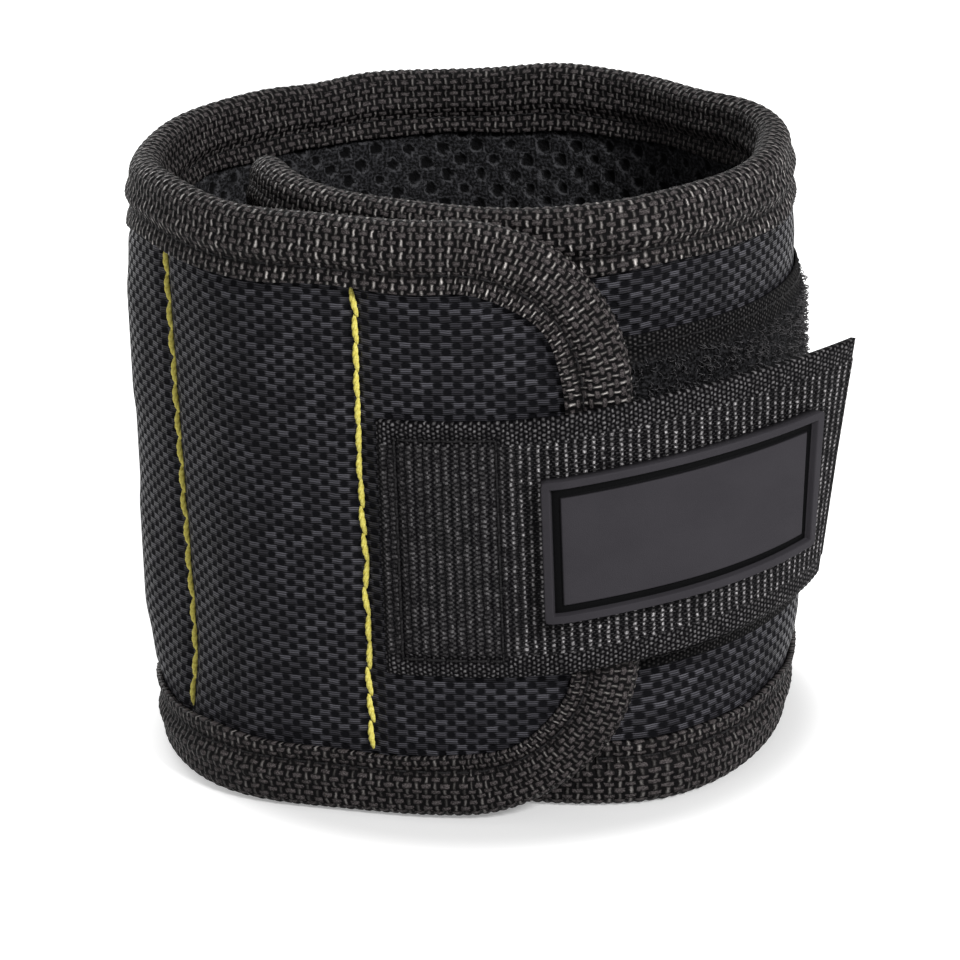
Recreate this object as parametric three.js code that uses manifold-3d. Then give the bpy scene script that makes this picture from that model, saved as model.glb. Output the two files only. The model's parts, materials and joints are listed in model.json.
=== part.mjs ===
// Magnetic wristband, rolled up and closed, standing on its lower edge.
// Millimetres, +Z up. The band is drawn flat and then rolled: every piece is given by its place
// along the band, its depth through the band and its height, and a path turns these into X, Y, Z.
import * as THREE from 'three';
import * as BufferGeometryUtils from 'three/addons/utils/BufferGeometryUtils.js';
import Module from 'manifold-3d';

const wasm = await Module();
wasm.setup();

const radians = THREE.MathUtils.degToRad;

// Band: its width, the roll it is worn in and its rounded ends
const BAND_WIDTH = 90;
const CORNER_RADIUS = 26;
const MAIN_RADIUS = 47.6;
const FLAP_EASE = 16; // how much flatter than the main roll the flap lies
const FLAP_TURN = 48; // degrees of that flatter stretch
const FLAP_REACH = 12.5; // degrees past the front that the flap's end faces
const TUCK_RADIUS = 13; // of the bend where the band tucks under the flap
const TAIL_RADIUS = 41.5;
const TAIL_TURN = 123; // degrees
const WRAP_CLEARANCE = 0.7; // air between the flap and what lies under it

// Magnets and the pockets that hold them
const MAGNET_DIAMETER = 14;
const MAGNET_THICKNESS = 1.3;
const MAGNET_ROW_SPACING = 34;
const MAGNET_COLUMNS = 5;
const POCKET_CLEARANCE = 0.5;

// Layers from the outside in, with the air between neighbours
const COVER_THICKNESS = 0.6;
const LINING_THICKNESS = 1.0;
const LAYER_GAP = 0.25;
const LAYER_INSET = 1.6; // from the band's edge to the edge of the cover and the lining
const PADDING_INSET = 4;

// Binding tape folded round the edge
const BINDING_WIDTH = 10;
const BINDING_WALL = 0.6;
const BINDING_GAP = 0.25;
const RIM_FLAT = 2.4; // width of the flat that the band stands on
const RIM_ROUND = 1.7;

// Thread
const SEAM_FIRST = 39.5; // from the flap's end to the first yellow seam
const SEAM_PITCH = 36;
const SEAM_STITCH = 4.2;
const SEAM_THREAD = 0.9;
const SEAM_THREAD_PINCH = 0.5;
const SEAM_SLANT = 0.5;
const FINE_THREAD = 0.5;
const THREAD_GAP = 0.25;
const BINDING_STITCH_MARGIN = 1.6;

// Loop tape on the tail
const LOOP_WIDTH = 50;
const LOOP_BACKING = 0.5;
const LOOP_PILE = 1.1;
const LOOP_SELVAGE = 3;
const LOOP_SEAM_MARGIN = 5; // from the last yellow seam
const LOOP_END_MARGIN = 2.5; // from the binding at the tail's end
const LOOP_STITCH_MARGIN = 1.5;

// Hook strap on the flap
const STRAP_WIDTH = 38.2;
const STRAP_MIDDLE = 41.8; // height of its middle line
const STRAP_THICKNESS = 1.4;
const STRAP_SEAM_MARGIN = 3.3; // from the first yellow seam
const STRAP_RISE_RUN = 7; // run in which the strap climbs onto the binding
const STRAP_CURL_RADIUS = 44.6; // of the free end past the flap
const STRAP_SLOPE = 7.5; // degrees that the free end climbs towards its tip
const STRAP_LEAN = 10.5; // degrees that the tip's upper edge leans out
const STRAP_STITCH_MARGIN = 2.6;
const STRAP_TIP_MARGIN = 7.7; // from the patch to the strap's tip

// Rubber patch on the strap's free end
const PATCH_LENGTH = 40.7;
const PATCH_HEIGHT = 21.1;
const PATCH_THICKNESS = 1.5;
const PATCH_RIM_WIDTH = 1.2;
const PATCH_RIM_RISE = 0.5;
const PATCH_GROOVE_WIDTH = 1.1;
const PATCH_GROOVE_DEPTH = 0.9;
const PATCH_SLOPE = 0.15;
const PATCH_MARGIN = 3.3; // from the strap's bending line

// Bending lines
const FOLD_MARGIN = 2.5; // from the yellow seam next to the line
const FOLD_GAP = 0.3; // air between the two sides of a line
const STRAP_FOLD_GAP = 0.4;

// Fineness of the rolled solids
const STEP = 6;
const STRAP_STEP = 1.5; // on the strap's free end and its patch
const CORNER_STEPS = 6;
const THREAD_SIDES = 3;
const SEAM_SIDES = 4;
const SEAM_RINGS = 3; // rings a stitch
const DISC_SIDES = 20;

// Sizes that follow from the ones above
const seamPlace = (index) => SEAM_FIRST + SEAM_PITCH * index;
const magnetSag = MAIN_RADIUS - Math.sqrt(MAIN_RADIUS ** 2 - (MAGNET_DIAMETER / 2) ** 2);
const paddingThickness = MAGNET_THICKNESS + magnetSag;
const bodyThickness = COVER_THICKNESS + paddingThickness + LINING_THICKNESS + 2 * LAYER_GAP;
const coverOut = bodyThickness / 2;
const coverIn = coverOut - COVER_THICKNESS;
const paddingOut = coverIn - LAYER_GAP;
const paddingIn = paddingOut - paddingThickness;
const liningOut = paddingIn - LAYER_GAP;
const liningIn = -coverOut;
const bindingIn = coverOut + BINDING_GAP;
const bindingOut = bindingIn + BINDING_WALL;
const loopSeat = coverOut + LAYER_GAP;
const loopOut = loopSeat + LOOP_BACKING + LOOP_PILE;
const wrapStep = bindingOut + loopOut + WRAP_CLEARANCE;
const stitchingOut = bindingOut + THREAD_GAP + FINE_THREAD;

// The direction in plan straight out from the roll, at an angle from the front
const outward = (angle) => new THREE.Vector2(Math.sin(angle), -Math.cos(angle));

// A path in plan made of arcs, each tangent to the last. An arc has a radius and a length, and the
// sense says whether angles grow or shrink on the way.
function makePath(start, angle, sense, arcs) {
  let from = 0;
  let facing = angle;
  let centre = start.clone();
  let lastRadius = 0;
  const stretches = [];
  for (const { radius, length } of arcs) {
    centre = centre.clone().addScaledVector(outward(facing), lastRadius - radius);
    stretches.push({ from, facing, centre, radius });
    facing += (sense * length) / radius;
    from += length;
    lastRadius = radius;
  }
  const place = (distance, depth, height) => {
    const arc = stretches.findLast((stretch) => stretch.from <= distance) ?? stretches[0];
    const turned = arc.facing + (sense * (distance - arc.from)) / arc.radius;
    const spot = arc.centre.clone().addScaledVector(outward(turned), arc.radius + depth);
    return new THREE.Vector3(spot.x, spot.y, height);
  };
  return { place, length: from };
}

// The flap's arc, flatter than the main roll, whose middle is the origin
const flapRadius = MAIN_RADIUS + FLAP_EASE;
const flapAngle = radians(FLAP_REACH);
const flapJoin = flapAngle - radians(FLAP_TURN);
const flapCentre = outward(flapJoin).multiplyScalar(-FLAP_EASE);
const onFlap = (angle, depth) => flapCentre.clone().addScaledVector(outward(angle), flapRadius + depth);

// The tuck is a tight bend from the main roll to one step inside the flap's arc. It touches both, which
// gives the angles where it ends and starts.
const tuckOffset = flapRadius - wrapStep - TUCK_RADIUS;
const tuckTurn = Math.acos(1 - wrapStep / FLAP_EASE
  + (wrapStep * (2 * FLAP_EASE - wrapStep)) / (2 * tuckOffset * FLAP_EASE));
const tuckEnd = flapJoin + tuckTurn;
const tuckCentre = onFlap(tuckEnd, tuckOffset - flapRadius);
const tuckStart = Math.atan2(tuckCentre.x, -tuckCentre.y);

// The band's path, along the middle of its thickness from the flap's end to the tail's end
const bandPath = makePath(onFlap(flapAngle, 0), flapAngle, -1, [
  { radius: flapRadius, length: flapRadius * radians(FLAP_TURN) },
  { radius: MAIN_RADIUS, length: MAIN_RADIUS * (flapJoin - tuckStart + 2 * Math.PI) },
  { radius: TUCK_RADIUS, length: TUCK_RADIUS * (tuckStart - tuckEnd) },
  { radius: TAIL_RADIUS, length: TAIL_RADIUS * radians(TAIL_TURN) },
]);
const bandLength = bandPath.length;

// Bending lines along the band: the flap opens at the second seam, the tail beyond the last one
const flapFold = seamPlace(1) + FOLD_MARGIN;
const tailFold = seamPlace(MAGNET_COLUMNS) + FOLD_MARGIN;

// Places from one end of a stretch to the other, no further apart than the step
function spread(from, to, step) {
  const count = Math.max(1, Math.ceil(Math.abs(to - from) / step));
  return Array.from({ length: count + 1 }, (_, index) => from + ((to - from) * index) / count);
}

// A geometry from points and triangles, with its faces turned outward
function solid(points, triangles) {
  let volume = 0;
  for (const [a, b, c] of triangles) {
    volume += points[a].dot(new THREE.Vector3().crossVectors(points[b], points[c]));
  }
  const faces = volume < 0 ? triangles.map(([a, b, c]) => [a, c, b]) : triangles;
  const geometry = new THREE.BufferGeometry();
  geometry.setAttribute('position', new THREE.Float32BufferAttribute(points.flatMap((p) => p.toArray()), 3));
  geometry.setIndex(faces.flat());
  return geometry;
}

// A solid skinned over rings of points. Its ends are capped with the given triangles of a ring, and
// with no caps the last ring joins the first.
function skin(rings, caps) {
  const size = rings[0].length;
  const points = rings.flat();
  const triangles = [];
  const last = caps ? rings.length - 1 : rings.length;
  for (let ring = 0; ring < last; ring += 1) {
    const next = (ring + 1) % rings.length;
    for (let side = 0; side < size; side += 1) {
      const a = ring * size + side;
      const b = ring * size + ((side + 1) % size);
      const c = next * size + ((side + 1) % size);
      const d = next * size + side;
      triangles.push([a, b, c], [a, c, d]);
    }
  }
  if (caps) {
    const end = (rings.length - 1) * size;
    for (const [a, b, c] of caps) {
      triangles.push([a, c, b], [a + end, b + end, c + end]);
    }
  }
  return solid(points, triangles);
}

const capsOf = (profile) => THREE.ShapeUtils.triangulateShape(profile, []);
const fanCaps = (size) => Array.from({ length: size - 2 }, (_, index) => [0, index + 1, index + 2]);
const SQUARE_CAPS = fanCaps(4);

// How far the band's rounded outline, drawn in by the inset, stands in from a straight edge
function cornerDrop(place, inset) {
  const radius = CORNER_RADIUS - inset;
  const fromEnd = Math.min(place, bandLength - place) - inset;
  if (fromEnd >= radius) {
    return 0;
  }
  return radius - Math.sqrt(Math.max(0, radius ** 2 - (radius - fromEnd) ** 2));
}

// Places along a layer, closer together where the outline turns a corner
function layerPlaces(from, to, inset) {
  const radius = CORNER_RADIUS - inset;
  const corner = Array.from({ length: CORNER_STEPS + 1 }, (_, index) =>
    inset + radius * (1 - Math.cos((Math.PI / 2) * (index / CORNER_STEPS))));
  if (from <= inset) {
    return [...corner, ...spread(inset + radius, to, STEP).slice(1)];
  }
  if (to >= bandLength - inset) {
    const far = corner.map((place) => bandLength - place).reverse();
    return [...spread(from, bandLength - inset - radius, STEP).slice(0, -1), ...far];
  }
  return spread(from, to, STEP);
}

// A layer of the band between two places, from one depth to another, inset from the band's edge
function layer(from, to, depthIn, depthOut, inset) {
  const rings = layerPlaces(from, to, inset).map((place) => {
    const low = inset + cornerDrop(place, inset);
    const high = BAND_WIDTH - low;
    return [
      bandPath.place(place, depthIn, low),
      bandPath.place(place, depthOut, low),
      bandPath.place(place, depthOut, high),
      bandPath.place(place, depthIn, high),
    ];
  });
  return skin(rings, SQUARE_CAPS);
}

// The band's edge as spots on the flat band, each with its direction into the band
function straightEdge(from, to, height) {
  const into = new THREE.Vector2(0, height === 0 ? 1 : -1);
  return spread(from, to, STEP).map((place) => ({ spot: new THREE.Vector2(place, height), into }));
}

function endEdge(fold, end) {
  const side = end === 0 ? 1 : -1;
  const centre = end + side * CORNER_RADIUS;
  const corner = (height, first) => Array.from({ length: CORNER_STEPS + 1 }, (_, index) => {
    const turn = (Math.PI / 2) * (first + (1 - 2 * first) * (index / CORNER_STEPS));
    const rise = height === 0 ? 1 : -1;
    const into = new THREE.Vector2(side * Math.sin(turn), rise * Math.cos(turn));
    const middle = new THREE.Vector2(centre, height + rise * CORNER_RADIUS);
    return { spot: middle.addScaledVector(into, -CORNER_RADIUS), into };
  });
  return [
    ...straightEdge(fold, centre, 0).slice(0, -1),
    ...corner(0, 0),
    ...corner(BAND_WIDTH, 1),
    ...straightEdge(centre, fold, BAND_WIDTH).slice(1),
  ];
}

// The folded binding's section: distance in from the band's edge, and depth. The walls have points on
// the way, so that they follow the roll where the tape goes round an end.
function bindingProfile() {
  const foot = RIM_FLAT / 2;
  const fold = LAYER_INSET - BINDING_GAP;
  const wall = (from, to, depth) => spread(from, to, STEP).map((inset) => new THREE.Vector2(inset, depth));
  const shoulder = new THREE.EllipseCurve(
    RIM_ROUND, foot, RIM_ROUND, bindingOut - foot, Math.PI / 2, Math.PI).getPoints(2).slice(1);
  const outside = [...wall(BINDING_WIDTH, RIM_ROUND, bindingOut), ...shoulder];
  const mirrored = outside.map((point) => new THREE.Vector2(point.x, -point.y)).reverse();
  const inside = [...wall(BINDING_WIDTH, fold, -bindingIn), ...wall(fold, BINDING_WIDTH, bindingIn)];
  return [...outside, ...mirrored, ...inside];
}

function binding(edge) {
  const profile = bindingProfile();
  const rings = edge.map(({ spot, into }) => profile.map((point) => {
    const flat = spot.clone().addScaledVector(into, point.x);
    return bandPath.place(flat.x, point.y, flat.y);
  }));
  return skin(rings, capsOf(profile));
}

// A thread lying on a surface: spots on the flat surface, the surface's depth and the thread's width
// at each spot. The surface is given by its place function.
function thread(place, spots, surface, widthAt, sides, closed) {
  const count = spots.length;
  const rings = spots.map((spot, index) => {
    const before = spots[closed ? (index + count - 1) % count : Math.max(0, index - 1)];
    const after = spots[closed ? (index + 1) % count : Math.min(count - 1, index + 1)];
    const across = after.clone().sub(before).normalize().rotateAround(new THREE.Vector2(), Math.PI / 2);
    const radius = widthAt(index) / 2;
    return Array.from({ length: sides }, (_, side) => {
      const angle = (2 * Math.PI * (side + 0.5)) / sides;
      const flat = spot.clone().addScaledVector(across, radius * Math.cos(angle));
      return place(flat.x, surface + THREAD_GAP + radius * (1 + Math.sin(angle)), flat.y);
    });
  });
  return skin(rings, closed ? undefined : fanCaps(sides));
}

const fineThread = () => FINE_THREAD;

// A closed line of sewing round a rectangle on the flat surface, with its corners cut
function sewnRectangle(from, to, low, high, step) {
  const cut = FINE_THREAD * 2;
  const spots = [
    ...spread(from + cut, to - cut, step).map((x) => [x, low]),
    ...spread(low + cut, high - cut, step).map((y) => [to, y]),
    ...spread(to - cut, from + cut, step).map((x) => [x, high]),
    ...spread(high - cut, low + cut, step).map((y) => [from, y]),
  ];
  return spots.map(([x, y]) => new THREE.Vector2(x, y));
}

// Boolean cut of closed geometries
function manifoldOf(geometry) {
  const bare = geometry.clone();
  bare.deleteAttribute('normal');
  bare.deleteAttribute('uv');
  const merged = BufferGeometryUtils.mergeVertices(bare, 1e-4);
  return new wasm.Manifold(new wasm.Mesh({
    numProp: 3,
    vertProperties: new Float32Array(merged.attributes.position.array),
    triVerts: new Uint32Array(merged.index.array),
  }));
}

function cutAway(geometry, cutters) {
  const body = cutters.reduce((left, cutter) => left.subtract(manifoldOf(cutter)), manifoldOf(geometry));
  const mesh = body.getMesh();
  const result = new THREE.BufferGeometry();
  result.setAttribute('position', new THREE.BufferAttribute(new Float32Array(mesh.vertProperties), 3));
  result.setIndex(new THREE.BufferAttribute(new Uint32Array(mesh.triVerts), 1));
  return result;
}

// A flat disc set in the band's padding, square to the band's surface. Its inner face is level with the
// padding's, and its rim comes level with the padding's outer face where the band curves away.
function disc(place, height, diameter, thickness) {
  const middle = paddingIn + MAGNET_THICKNESS / 2;
  const centre = bandPath.place(place, middle, height);
  const axis = bandPath.place(place, middle + 1, height).sub(centre);
  const geometry = new THREE.CylinderGeometry(diameter / 2, diameter / 2, thickness, DISC_SIDES);
  geometry.applyQuaternion(new THREE.Quaternion().setFromUnitVectors(new THREE.Vector3(0, 1, 0), axis));
  geometry.translate(centre.x, centre.y, centre.z);
  return geometry;
}

// The places of the magnets: a column midway between two seams, with an upper and a lower row
const magnetPlaces = Array.from({ length: MAGNET_COLUMNS }, (_, column) => ['lower', 'upper'].map((row) => ({
  name: `magnet_${column + 1}_${row}`,
  place: seamPlace(column) + SEAM_PITCH / 2,
  height: BAND_WIDTH / 2 + (MAGNET_ROW_SPACING / 2) * (row === 'upper' ? 1 : -1),
}))).flat();

function padding(from, to) {
  const pad = layer(from, to, paddingIn, paddingOut, PADDING_INSET);
  const pockets = magnetPlaces
    .filter(({ place }) => place > from && place < to)
    .map(({ place, height }) =>
      disc(place, height, MAGNET_DIAMETER + 2 * POCKET_CLEARANCE, paddingThickness + MAGNET_DIAMETER));
  return pockets.length > 0 ? cutAway(pad, pockets) : pad;
}

// A yellow seam across the band: each stitch swells and leans between two needle holes
function pocketSeam(place) {
  const low = BINDING_WIDTH + THREAD_GAP;
  const high = BAND_WIDTH - low;
  const stitches = Math.round((high - low) / SEAM_STITCH);
  const phase = (index) => (index % SEAM_RINGS) / SEAM_RINGS;
  const spots = spread(low, high, (high - low) / (stitches * SEAM_RINGS)).map((height, index) =>
    new THREE.Vector2(place + SEAM_SLANT * Math.sin(2 * Math.PI * phase(index)), height));
  const width = (index) =>
    SEAM_THREAD_PINCH + (SEAM_THREAD - SEAM_THREAD_PINCH) * Math.sin(Math.PI * phase(index));
  return thread(bandPath.place, spots, coverOut, width, SEAM_SIDES, false);
}

// Loop tape: a backing with a bare margin all round and a low pile inside it
const loopFrom = seamPlace(MAGNET_COLUMNS) + LOOP_SEAM_MARGIN;
const loopTo = bandLength - BINDING_WIDTH - LOOP_END_MARGIN;
const loopLow = (BAND_WIDTH - LOOP_WIDTH) / 2;
const loopHigh = loopLow + LOOP_WIDTH;
const loopBackingOut = loopSeat + LOOP_BACKING;

function loopTape() {
  const pileFrom = loopFrom + LOOP_SELVAGE;
  const pileTo = loopTo - LOOP_SELVAGE;
  const section = (depth) => [
    [loopSeat, loopLow],
    [loopBackingOut, loopLow],
    [loopBackingOut, loopLow + LOOP_SELVAGE],
    [depth, loopLow + LOOP_SELVAGE + LOOP_PILE],
    [depth, loopHigh - LOOP_SELVAGE - LOOP_PILE],
    [loopBackingOut, loopHigh - LOOP_SELVAGE],
    [loopBackingOut, loopHigh],
    [loopSeat, loopHigh],
  ].map(([depthAt, height]) => new THREE.Vector2(depthAt, height));
  const ring = (place, depth) => section(depth).map((point) => bandPath.place(place, point.x, point.y));
  const rings = [
    ring(loopFrom, loopBackingOut),
    ring(pileFrom, loopBackingOut),
    ...spread(pileFrom + LOOP_PILE, pileTo - LOOP_PILE, STEP).map((place) => ring(place, loopOut)),
    ring(pileTo, loopBackingOut),
    ring(loopTo, loopBackingOut),
  ];
  return skin(rings, fanCaps(rings[0].length));
}

function loopTapeStitching() {
  const margin = LOOP_STITCH_MARGIN;
  const spots = sewnRectangle(
    loopFrom + margin, loopTo - margin, loopLow + margin, loopHigh - margin, STEP);
  return thread(bandPath.place, spots, loopBackingOut, fineThread, THREAD_SIDES, true);
}

// Hook strap: a base sewn on the flap, and a free end with its own path
const strapLow = STRAP_MIDDLE - STRAP_WIDTH / 2;
const strapHigh = STRAP_MIDDLE + STRAP_WIDTH / 2;
const strapSeat = coverOut + LAYER_GAP;
const strapOut = strapSeat + STRAP_THICKNESS;
const strapStart = SEAM_FIRST - STRAP_SEAM_MARGIN;
const strapFold = BINDING_WIDTH + STRAP_RISE_RUN;
const strapRise = stitchingOut + LAYER_GAP - strapSeat;
const strapRadius = flapRadius + strapSeat;
const strapOnFlap = strapFold * (strapRadius / flapRadius);
const strapFreeLength = PATCH_MARGIN + PATCH_LENGTH + STRAP_TIP_MARGIN;
const strapAngle = flapAngle - strapFold / flapRadius;
const strapPath = makePath(onFlap(strapAngle, strapSeat), strapAngle, 1, [
  { radius: strapRadius, length: strapOnFlap },
  { radius: STRAP_CURL_RADIUS, length: strapFreeLength - strapOnFlap },
]);

// A place on the free end. It steps out over the sewn binding, and past the flap its upper edge leans
// out further and further.
function strapPlace(distance, depth, height) {
  const climb = strapRise * THREE.MathUtils.smoothstep(distance, 0, STRAP_RISE_RUN);
  const share = Math.max(0, distance - strapOnFlap) / (strapFreeLength - strapOnFlap);
  const lean = Math.tan(radians(STRAP_LEAN)) * share ** 2 * (height - STRAP_MIDDLE);
  const slope = Math.tan(radians(STRAP_SLOPE)) * distance;
  return strapPath.place(distance, depth + climb + lean, height + slope);
}

function strapBase() {
  const rings = spread(strapFold + STRAP_FOLD_GAP, strapStart, STEP).map((place) => [
    bandPath.place(place, strapSeat, strapLow),
    bandPath.place(place, strapOut, strapLow),
    bandPath.place(place, strapOut, strapHigh),
    bandPath.place(place, strapSeat, strapHigh),
  ]);
  return skin(rings, SQUARE_CAPS);
}

function strapEnd() {
  const rings = spread(0, strapFreeLength, STRAP_STEP).map((distance) => [
    strapPlace(distance, 0, strapLow),
    strapPlace(distance, STRAP_THICKNESS, strapLow),
    strapPlace(distance, STRAP_THICKNESS, strapHigh),
    strapPlace(distance, 0, strapHigh),
  ]);
  return skin(rings, SQUARE_CAPS);
}

function strapStitching() {
  const margin = STRAP_STITCH_MARGIN;
  const spots = sewnRectangle(
    strapFold + STRAP_FOLD_GAP + margin, strapStart - margin, strapLow + margin, strapHigh - margin, STEP);
  return thread(bandPath.place, spots, strapOut, fineThread, THREAD_SIDES, true);
}

// Rubber patch: a plate with a raised rim and a sewing groove inside the rim
const patchLow = STRAP_MIDDLE - PATCH_HEIGHT / 2;
const patchSeat = STRAP_THICKNESS + LAYER_GAP;
const grooveStart = PATCH_RIM_WIDTH + PATCH_SLOPE;
const grooveEnd = grooveStart + PATCH_GROOVE_WIDTH;

// The patch's thickness at a distance in from its edge
const patchSteps = [
  { inset: 0, rise: PATCH_RIM_RISE - PATCH_SLOPE },
  { inset: PATCH_SLOPE, rise: PATCH_RIM_RISE },
  { inset: PATCH_RIM_WIDTH, rise: PATCH_RIM_RISE },
  { inset: grooveStart, rise: -PATCH_GROOVE_DEPTH },
  { inset: grooveEnd, rise: -PATCH_GROOVE_DEPTH },
  { inset: grooveEnd + PATCH_SLOPE, rise: 0 },
];

// Grid lines across the patch: one at each step near both edges, and more between them
function patchLines(size, step) {
  const edge = patchSteps.map(({ inset }) => inset);
  const inner = edge.at(-1);
  const middle = spread(inner, size - inner, step).slice(1, -1);
  return [...edge, ...middle, ...edge.map((inset) => size - inset).reverse()];
}

function patchDepth(x, y) {
  const inset = Math.min(x, PATCH_LENGTH - x, y, PATCH_HEIGHT - y);
  const step = patchSteps.findLast((candidate) => candidate.inset <= inset + PATCH_SLOPE / 2);
  return patchSeat + PATCH_THICKNESS + step.rise;
}

function rubberPatch() {
  const heights = patchLines(PATCH_HEIGHT, STEP);
  const section = (x) => [
    ...heights.map((y) => new THREE.Vector2(patchDepth(x, y), y)),
    new THREE.Vector2(patchSeat, PATCH_HEIGHT),
    new THREE.Vector2(patchSeat, 0),
  ];
  const rings = patchLines(PATCH_LENGTH, STRAP_STEP).map((x) =>
    section(x).map((point) => strapPlace(PATCH_MARGIN + x, point.x, patchLow + point.y)));
  return skin(rings, capsOf(section(0)));
}

function patchStitching() {
  const inset = (grooveStart + grooveEnd) / 2;
  const floor = patchSeat + PATCH_THICKNESS - PATCH_GROOVE_DEPTH;
  const left = PATCH_MARGIN + inset;
  const right = PATCH_MARGIN + PATCH_LENGTH - inset;
  const spots = sewnRectangle(left, right, patchLow + inset, patchLow + PATCH_HEIGHT - inset, STRAP_STEP);
  return thread(strapPlace, spots, floor, fineThread, THREAD_SIDES, true);
}

// Materials
const finish = (color, roughness, metalness = 0) => ({ color, roughness, metalness });
const COVER_FINISH = finish(0x1c1c20, 0.7);
const PADDING_FINISH = finish(0x3a3a3c, 0.95);
const LINING_FINISH = finish(0x161617, 0.9);
const BINDING_FINISH = finish(0x33302f, 0.8);
const BLACK_THREAD_FINISH = finish(0x18181a, 0.7);
const YELLOW_THREAD_FINISH = finish(0xe2cf45, 0.6);
const MAGNET_FINISH = finish(0xb9bcc0, 0.3, 1);
const LOOP_FINISH = finish(0x131314, 1);
const STRAP_FINISH = finish(0x222224, 0.8);
const RUBBER_FINISH = finish(0x423f42, 0.6);

// Assembly
const wristband = new THREE.Group();

function add(name, geometry, look) {
  const mesh = new THREE.Mesh(geometry, new THREE.MeshStandardMaterial(look));
  mesh.name = name;
  wristband.add(mesh);
}

const panels = [
  { name: 'flap', from: 0, to: flapFold - FOLD_GAP / 2 },
  { name: 'back', from: flapFold + FOLD_GAP / 2, to: tailFold - FOLD_GAP / 2 },
  { name: 'tail', from: tailFold + FOLD_GAP / 2, to: bandLength },
];
for (const { name, from, to } of panels) {
  const clip = (inset) => [Math.max(from, inset), Math.min(to, bandLength - inset)];
  add(`cover_${name}`, layer(...clip(LAYER_INSET), coverIn, coverOut, LAYER_INSET), COVER_FINISH);
  add(`padding_${name}`, padding(...clip(PADDING_INSET)), PADDING_FINISH);
  add(`lining_${name}`, layer(...clip(LAYER_INSET), liningIn, liningOut, LAYER_INSET), LINING_FINISH);
}

const [flap, back, tail] = panels;
const edges = {
  flap: endEdge(flap.to, 0),
  back_lower: straightEdge(back.from, back.to, 0),
  back_upper: straightEdge(back.from, back.to, BAND_WIDTH),
  tail: endEdge(tail.from, bandLength),
};
for (const [name, edge] of Object.entries(edges)) {
  const inset = BINDING_WIDTH - BINDING_STITCH_MARGIN;
  const line = edge.map(({ spot, into }) => spot.clone().addScaledVector(into, inset));
  const stitching = thread(bandPath.place, line, bindingOut, fineThread, THREAD_SIDES, false);
  add(`binding_${name}`, binding(edge), BINDING_FINISH);
  add(`binding_stitching_${name}`, stitching, BLACK_THREAD_FINISH);
}

for (let seam = 0; seam <= MAGNET_COLUMNS; seam += 1) {
  add(`pocket_seam_${seam + 1}`, pocketSeam(seamPlace(seam)), YELLOW_THREAD_FINISH);
}

for (const { name, place, height } of magnetPlaces) {
  add(name, disc(place, height, MAGNET_DIAMETER, MAGNET_THICKNESS), MAGNET_FINISH);
}

add('loop_tape', loopTape(), LOOP_FINISH);
add('loop_tape_stitching', loopTapeStitching(), BLACK_THREAD_FINISH);
add('hook_strap_base', strapBase(), STRAP_FINISH);
add('hook_strap_end', strapEnd(), STRAP_FINISH);
add('strap_stitching', strapStitching(), BLACK_THREAD_FINISH);
add('rubber_patch', rubberPatch(), RUBBER_FINISH);
add('patch_stitching', patchStitching(), BLACK_THREAD_FINISH);

// The middle of the footprint is the origin
const extent = new THREE.Box3().setFromObject(wristband);
const footprint = extent.getCenter(new THREE.Vector3());
wristband.position.set(-footprint.x, -footprint.y, -extent.min.z);

export default wristband;
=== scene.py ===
"""Looks of a rolled magnetic wristband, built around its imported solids.

The band is drawn flat in millimetres, by the place along it, the depth through it and the height, and is
rolled by the same arcs as the solids. Every piece ends up in metres, +Z up.
"""
import json
import math
from dataclasses import dataclass

import bpy
import numpy as np
from mathutils import Matrix, Vector


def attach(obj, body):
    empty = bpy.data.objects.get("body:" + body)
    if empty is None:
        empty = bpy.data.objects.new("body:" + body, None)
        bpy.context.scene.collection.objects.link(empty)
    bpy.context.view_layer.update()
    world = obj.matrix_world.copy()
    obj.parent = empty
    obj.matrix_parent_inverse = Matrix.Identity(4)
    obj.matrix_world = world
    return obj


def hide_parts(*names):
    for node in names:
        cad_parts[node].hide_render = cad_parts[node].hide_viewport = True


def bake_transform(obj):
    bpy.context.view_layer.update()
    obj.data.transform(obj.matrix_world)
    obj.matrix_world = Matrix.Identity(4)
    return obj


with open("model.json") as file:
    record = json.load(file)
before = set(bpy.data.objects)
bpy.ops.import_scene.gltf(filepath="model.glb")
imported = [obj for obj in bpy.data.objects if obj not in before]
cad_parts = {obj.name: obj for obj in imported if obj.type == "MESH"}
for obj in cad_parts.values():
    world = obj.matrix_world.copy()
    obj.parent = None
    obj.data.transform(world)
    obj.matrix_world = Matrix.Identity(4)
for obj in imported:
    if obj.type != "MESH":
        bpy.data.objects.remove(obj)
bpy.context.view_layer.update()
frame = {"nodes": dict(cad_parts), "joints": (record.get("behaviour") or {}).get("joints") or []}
JOINTS = {joint["name"]: joint for joint in frame["joints"]}
MM = 0.001
chance = np.random.default_rng(7)

# Sizes of the solids, in millimetres and degrees
BAND_WIDTH = 90.0
CORNER_RADIUS = 26.0
MAIN_RADIUS = 47.6
FLAP_EASE = 16.0
FLAP_TURN = 48.0
FLAP_REACH = 12.5
TUCK_RADIUS = 13.0
TAIL_RADIUS = 41.5
TAIL_TURN = 123.0
WRAP_CLEARANCE = 0.7
MAGNET_DIAMETER = 14.0
MAGNET_THICKNESS = 1.3
MAGNET_ROW_SPACING = 34.0
MAGNET_COLUMNS = 5
COVER_THICKNESS = 0.6
LINING_THICKNESS = 1.0
LAYER_GAP = 0.25
LAYER_INSET = 1.6
PADDING_INSET = 4.0
BINDING_WIDTH = 10.0
BINDING_WALL = 0.6
BINDING_GAP = 0.25
BINDING_STITCH_MARGIN = 1.6
SEAM_FIRST = 39.5
SEAM_PITCH = 36.0
SEAM_STITCH = 4.2
FINE_THREAD = 0.5
THREAD_GAP = 0.25
LOOP_WIDTH = 50.0
LOOP_BACKING = 0.5
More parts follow.
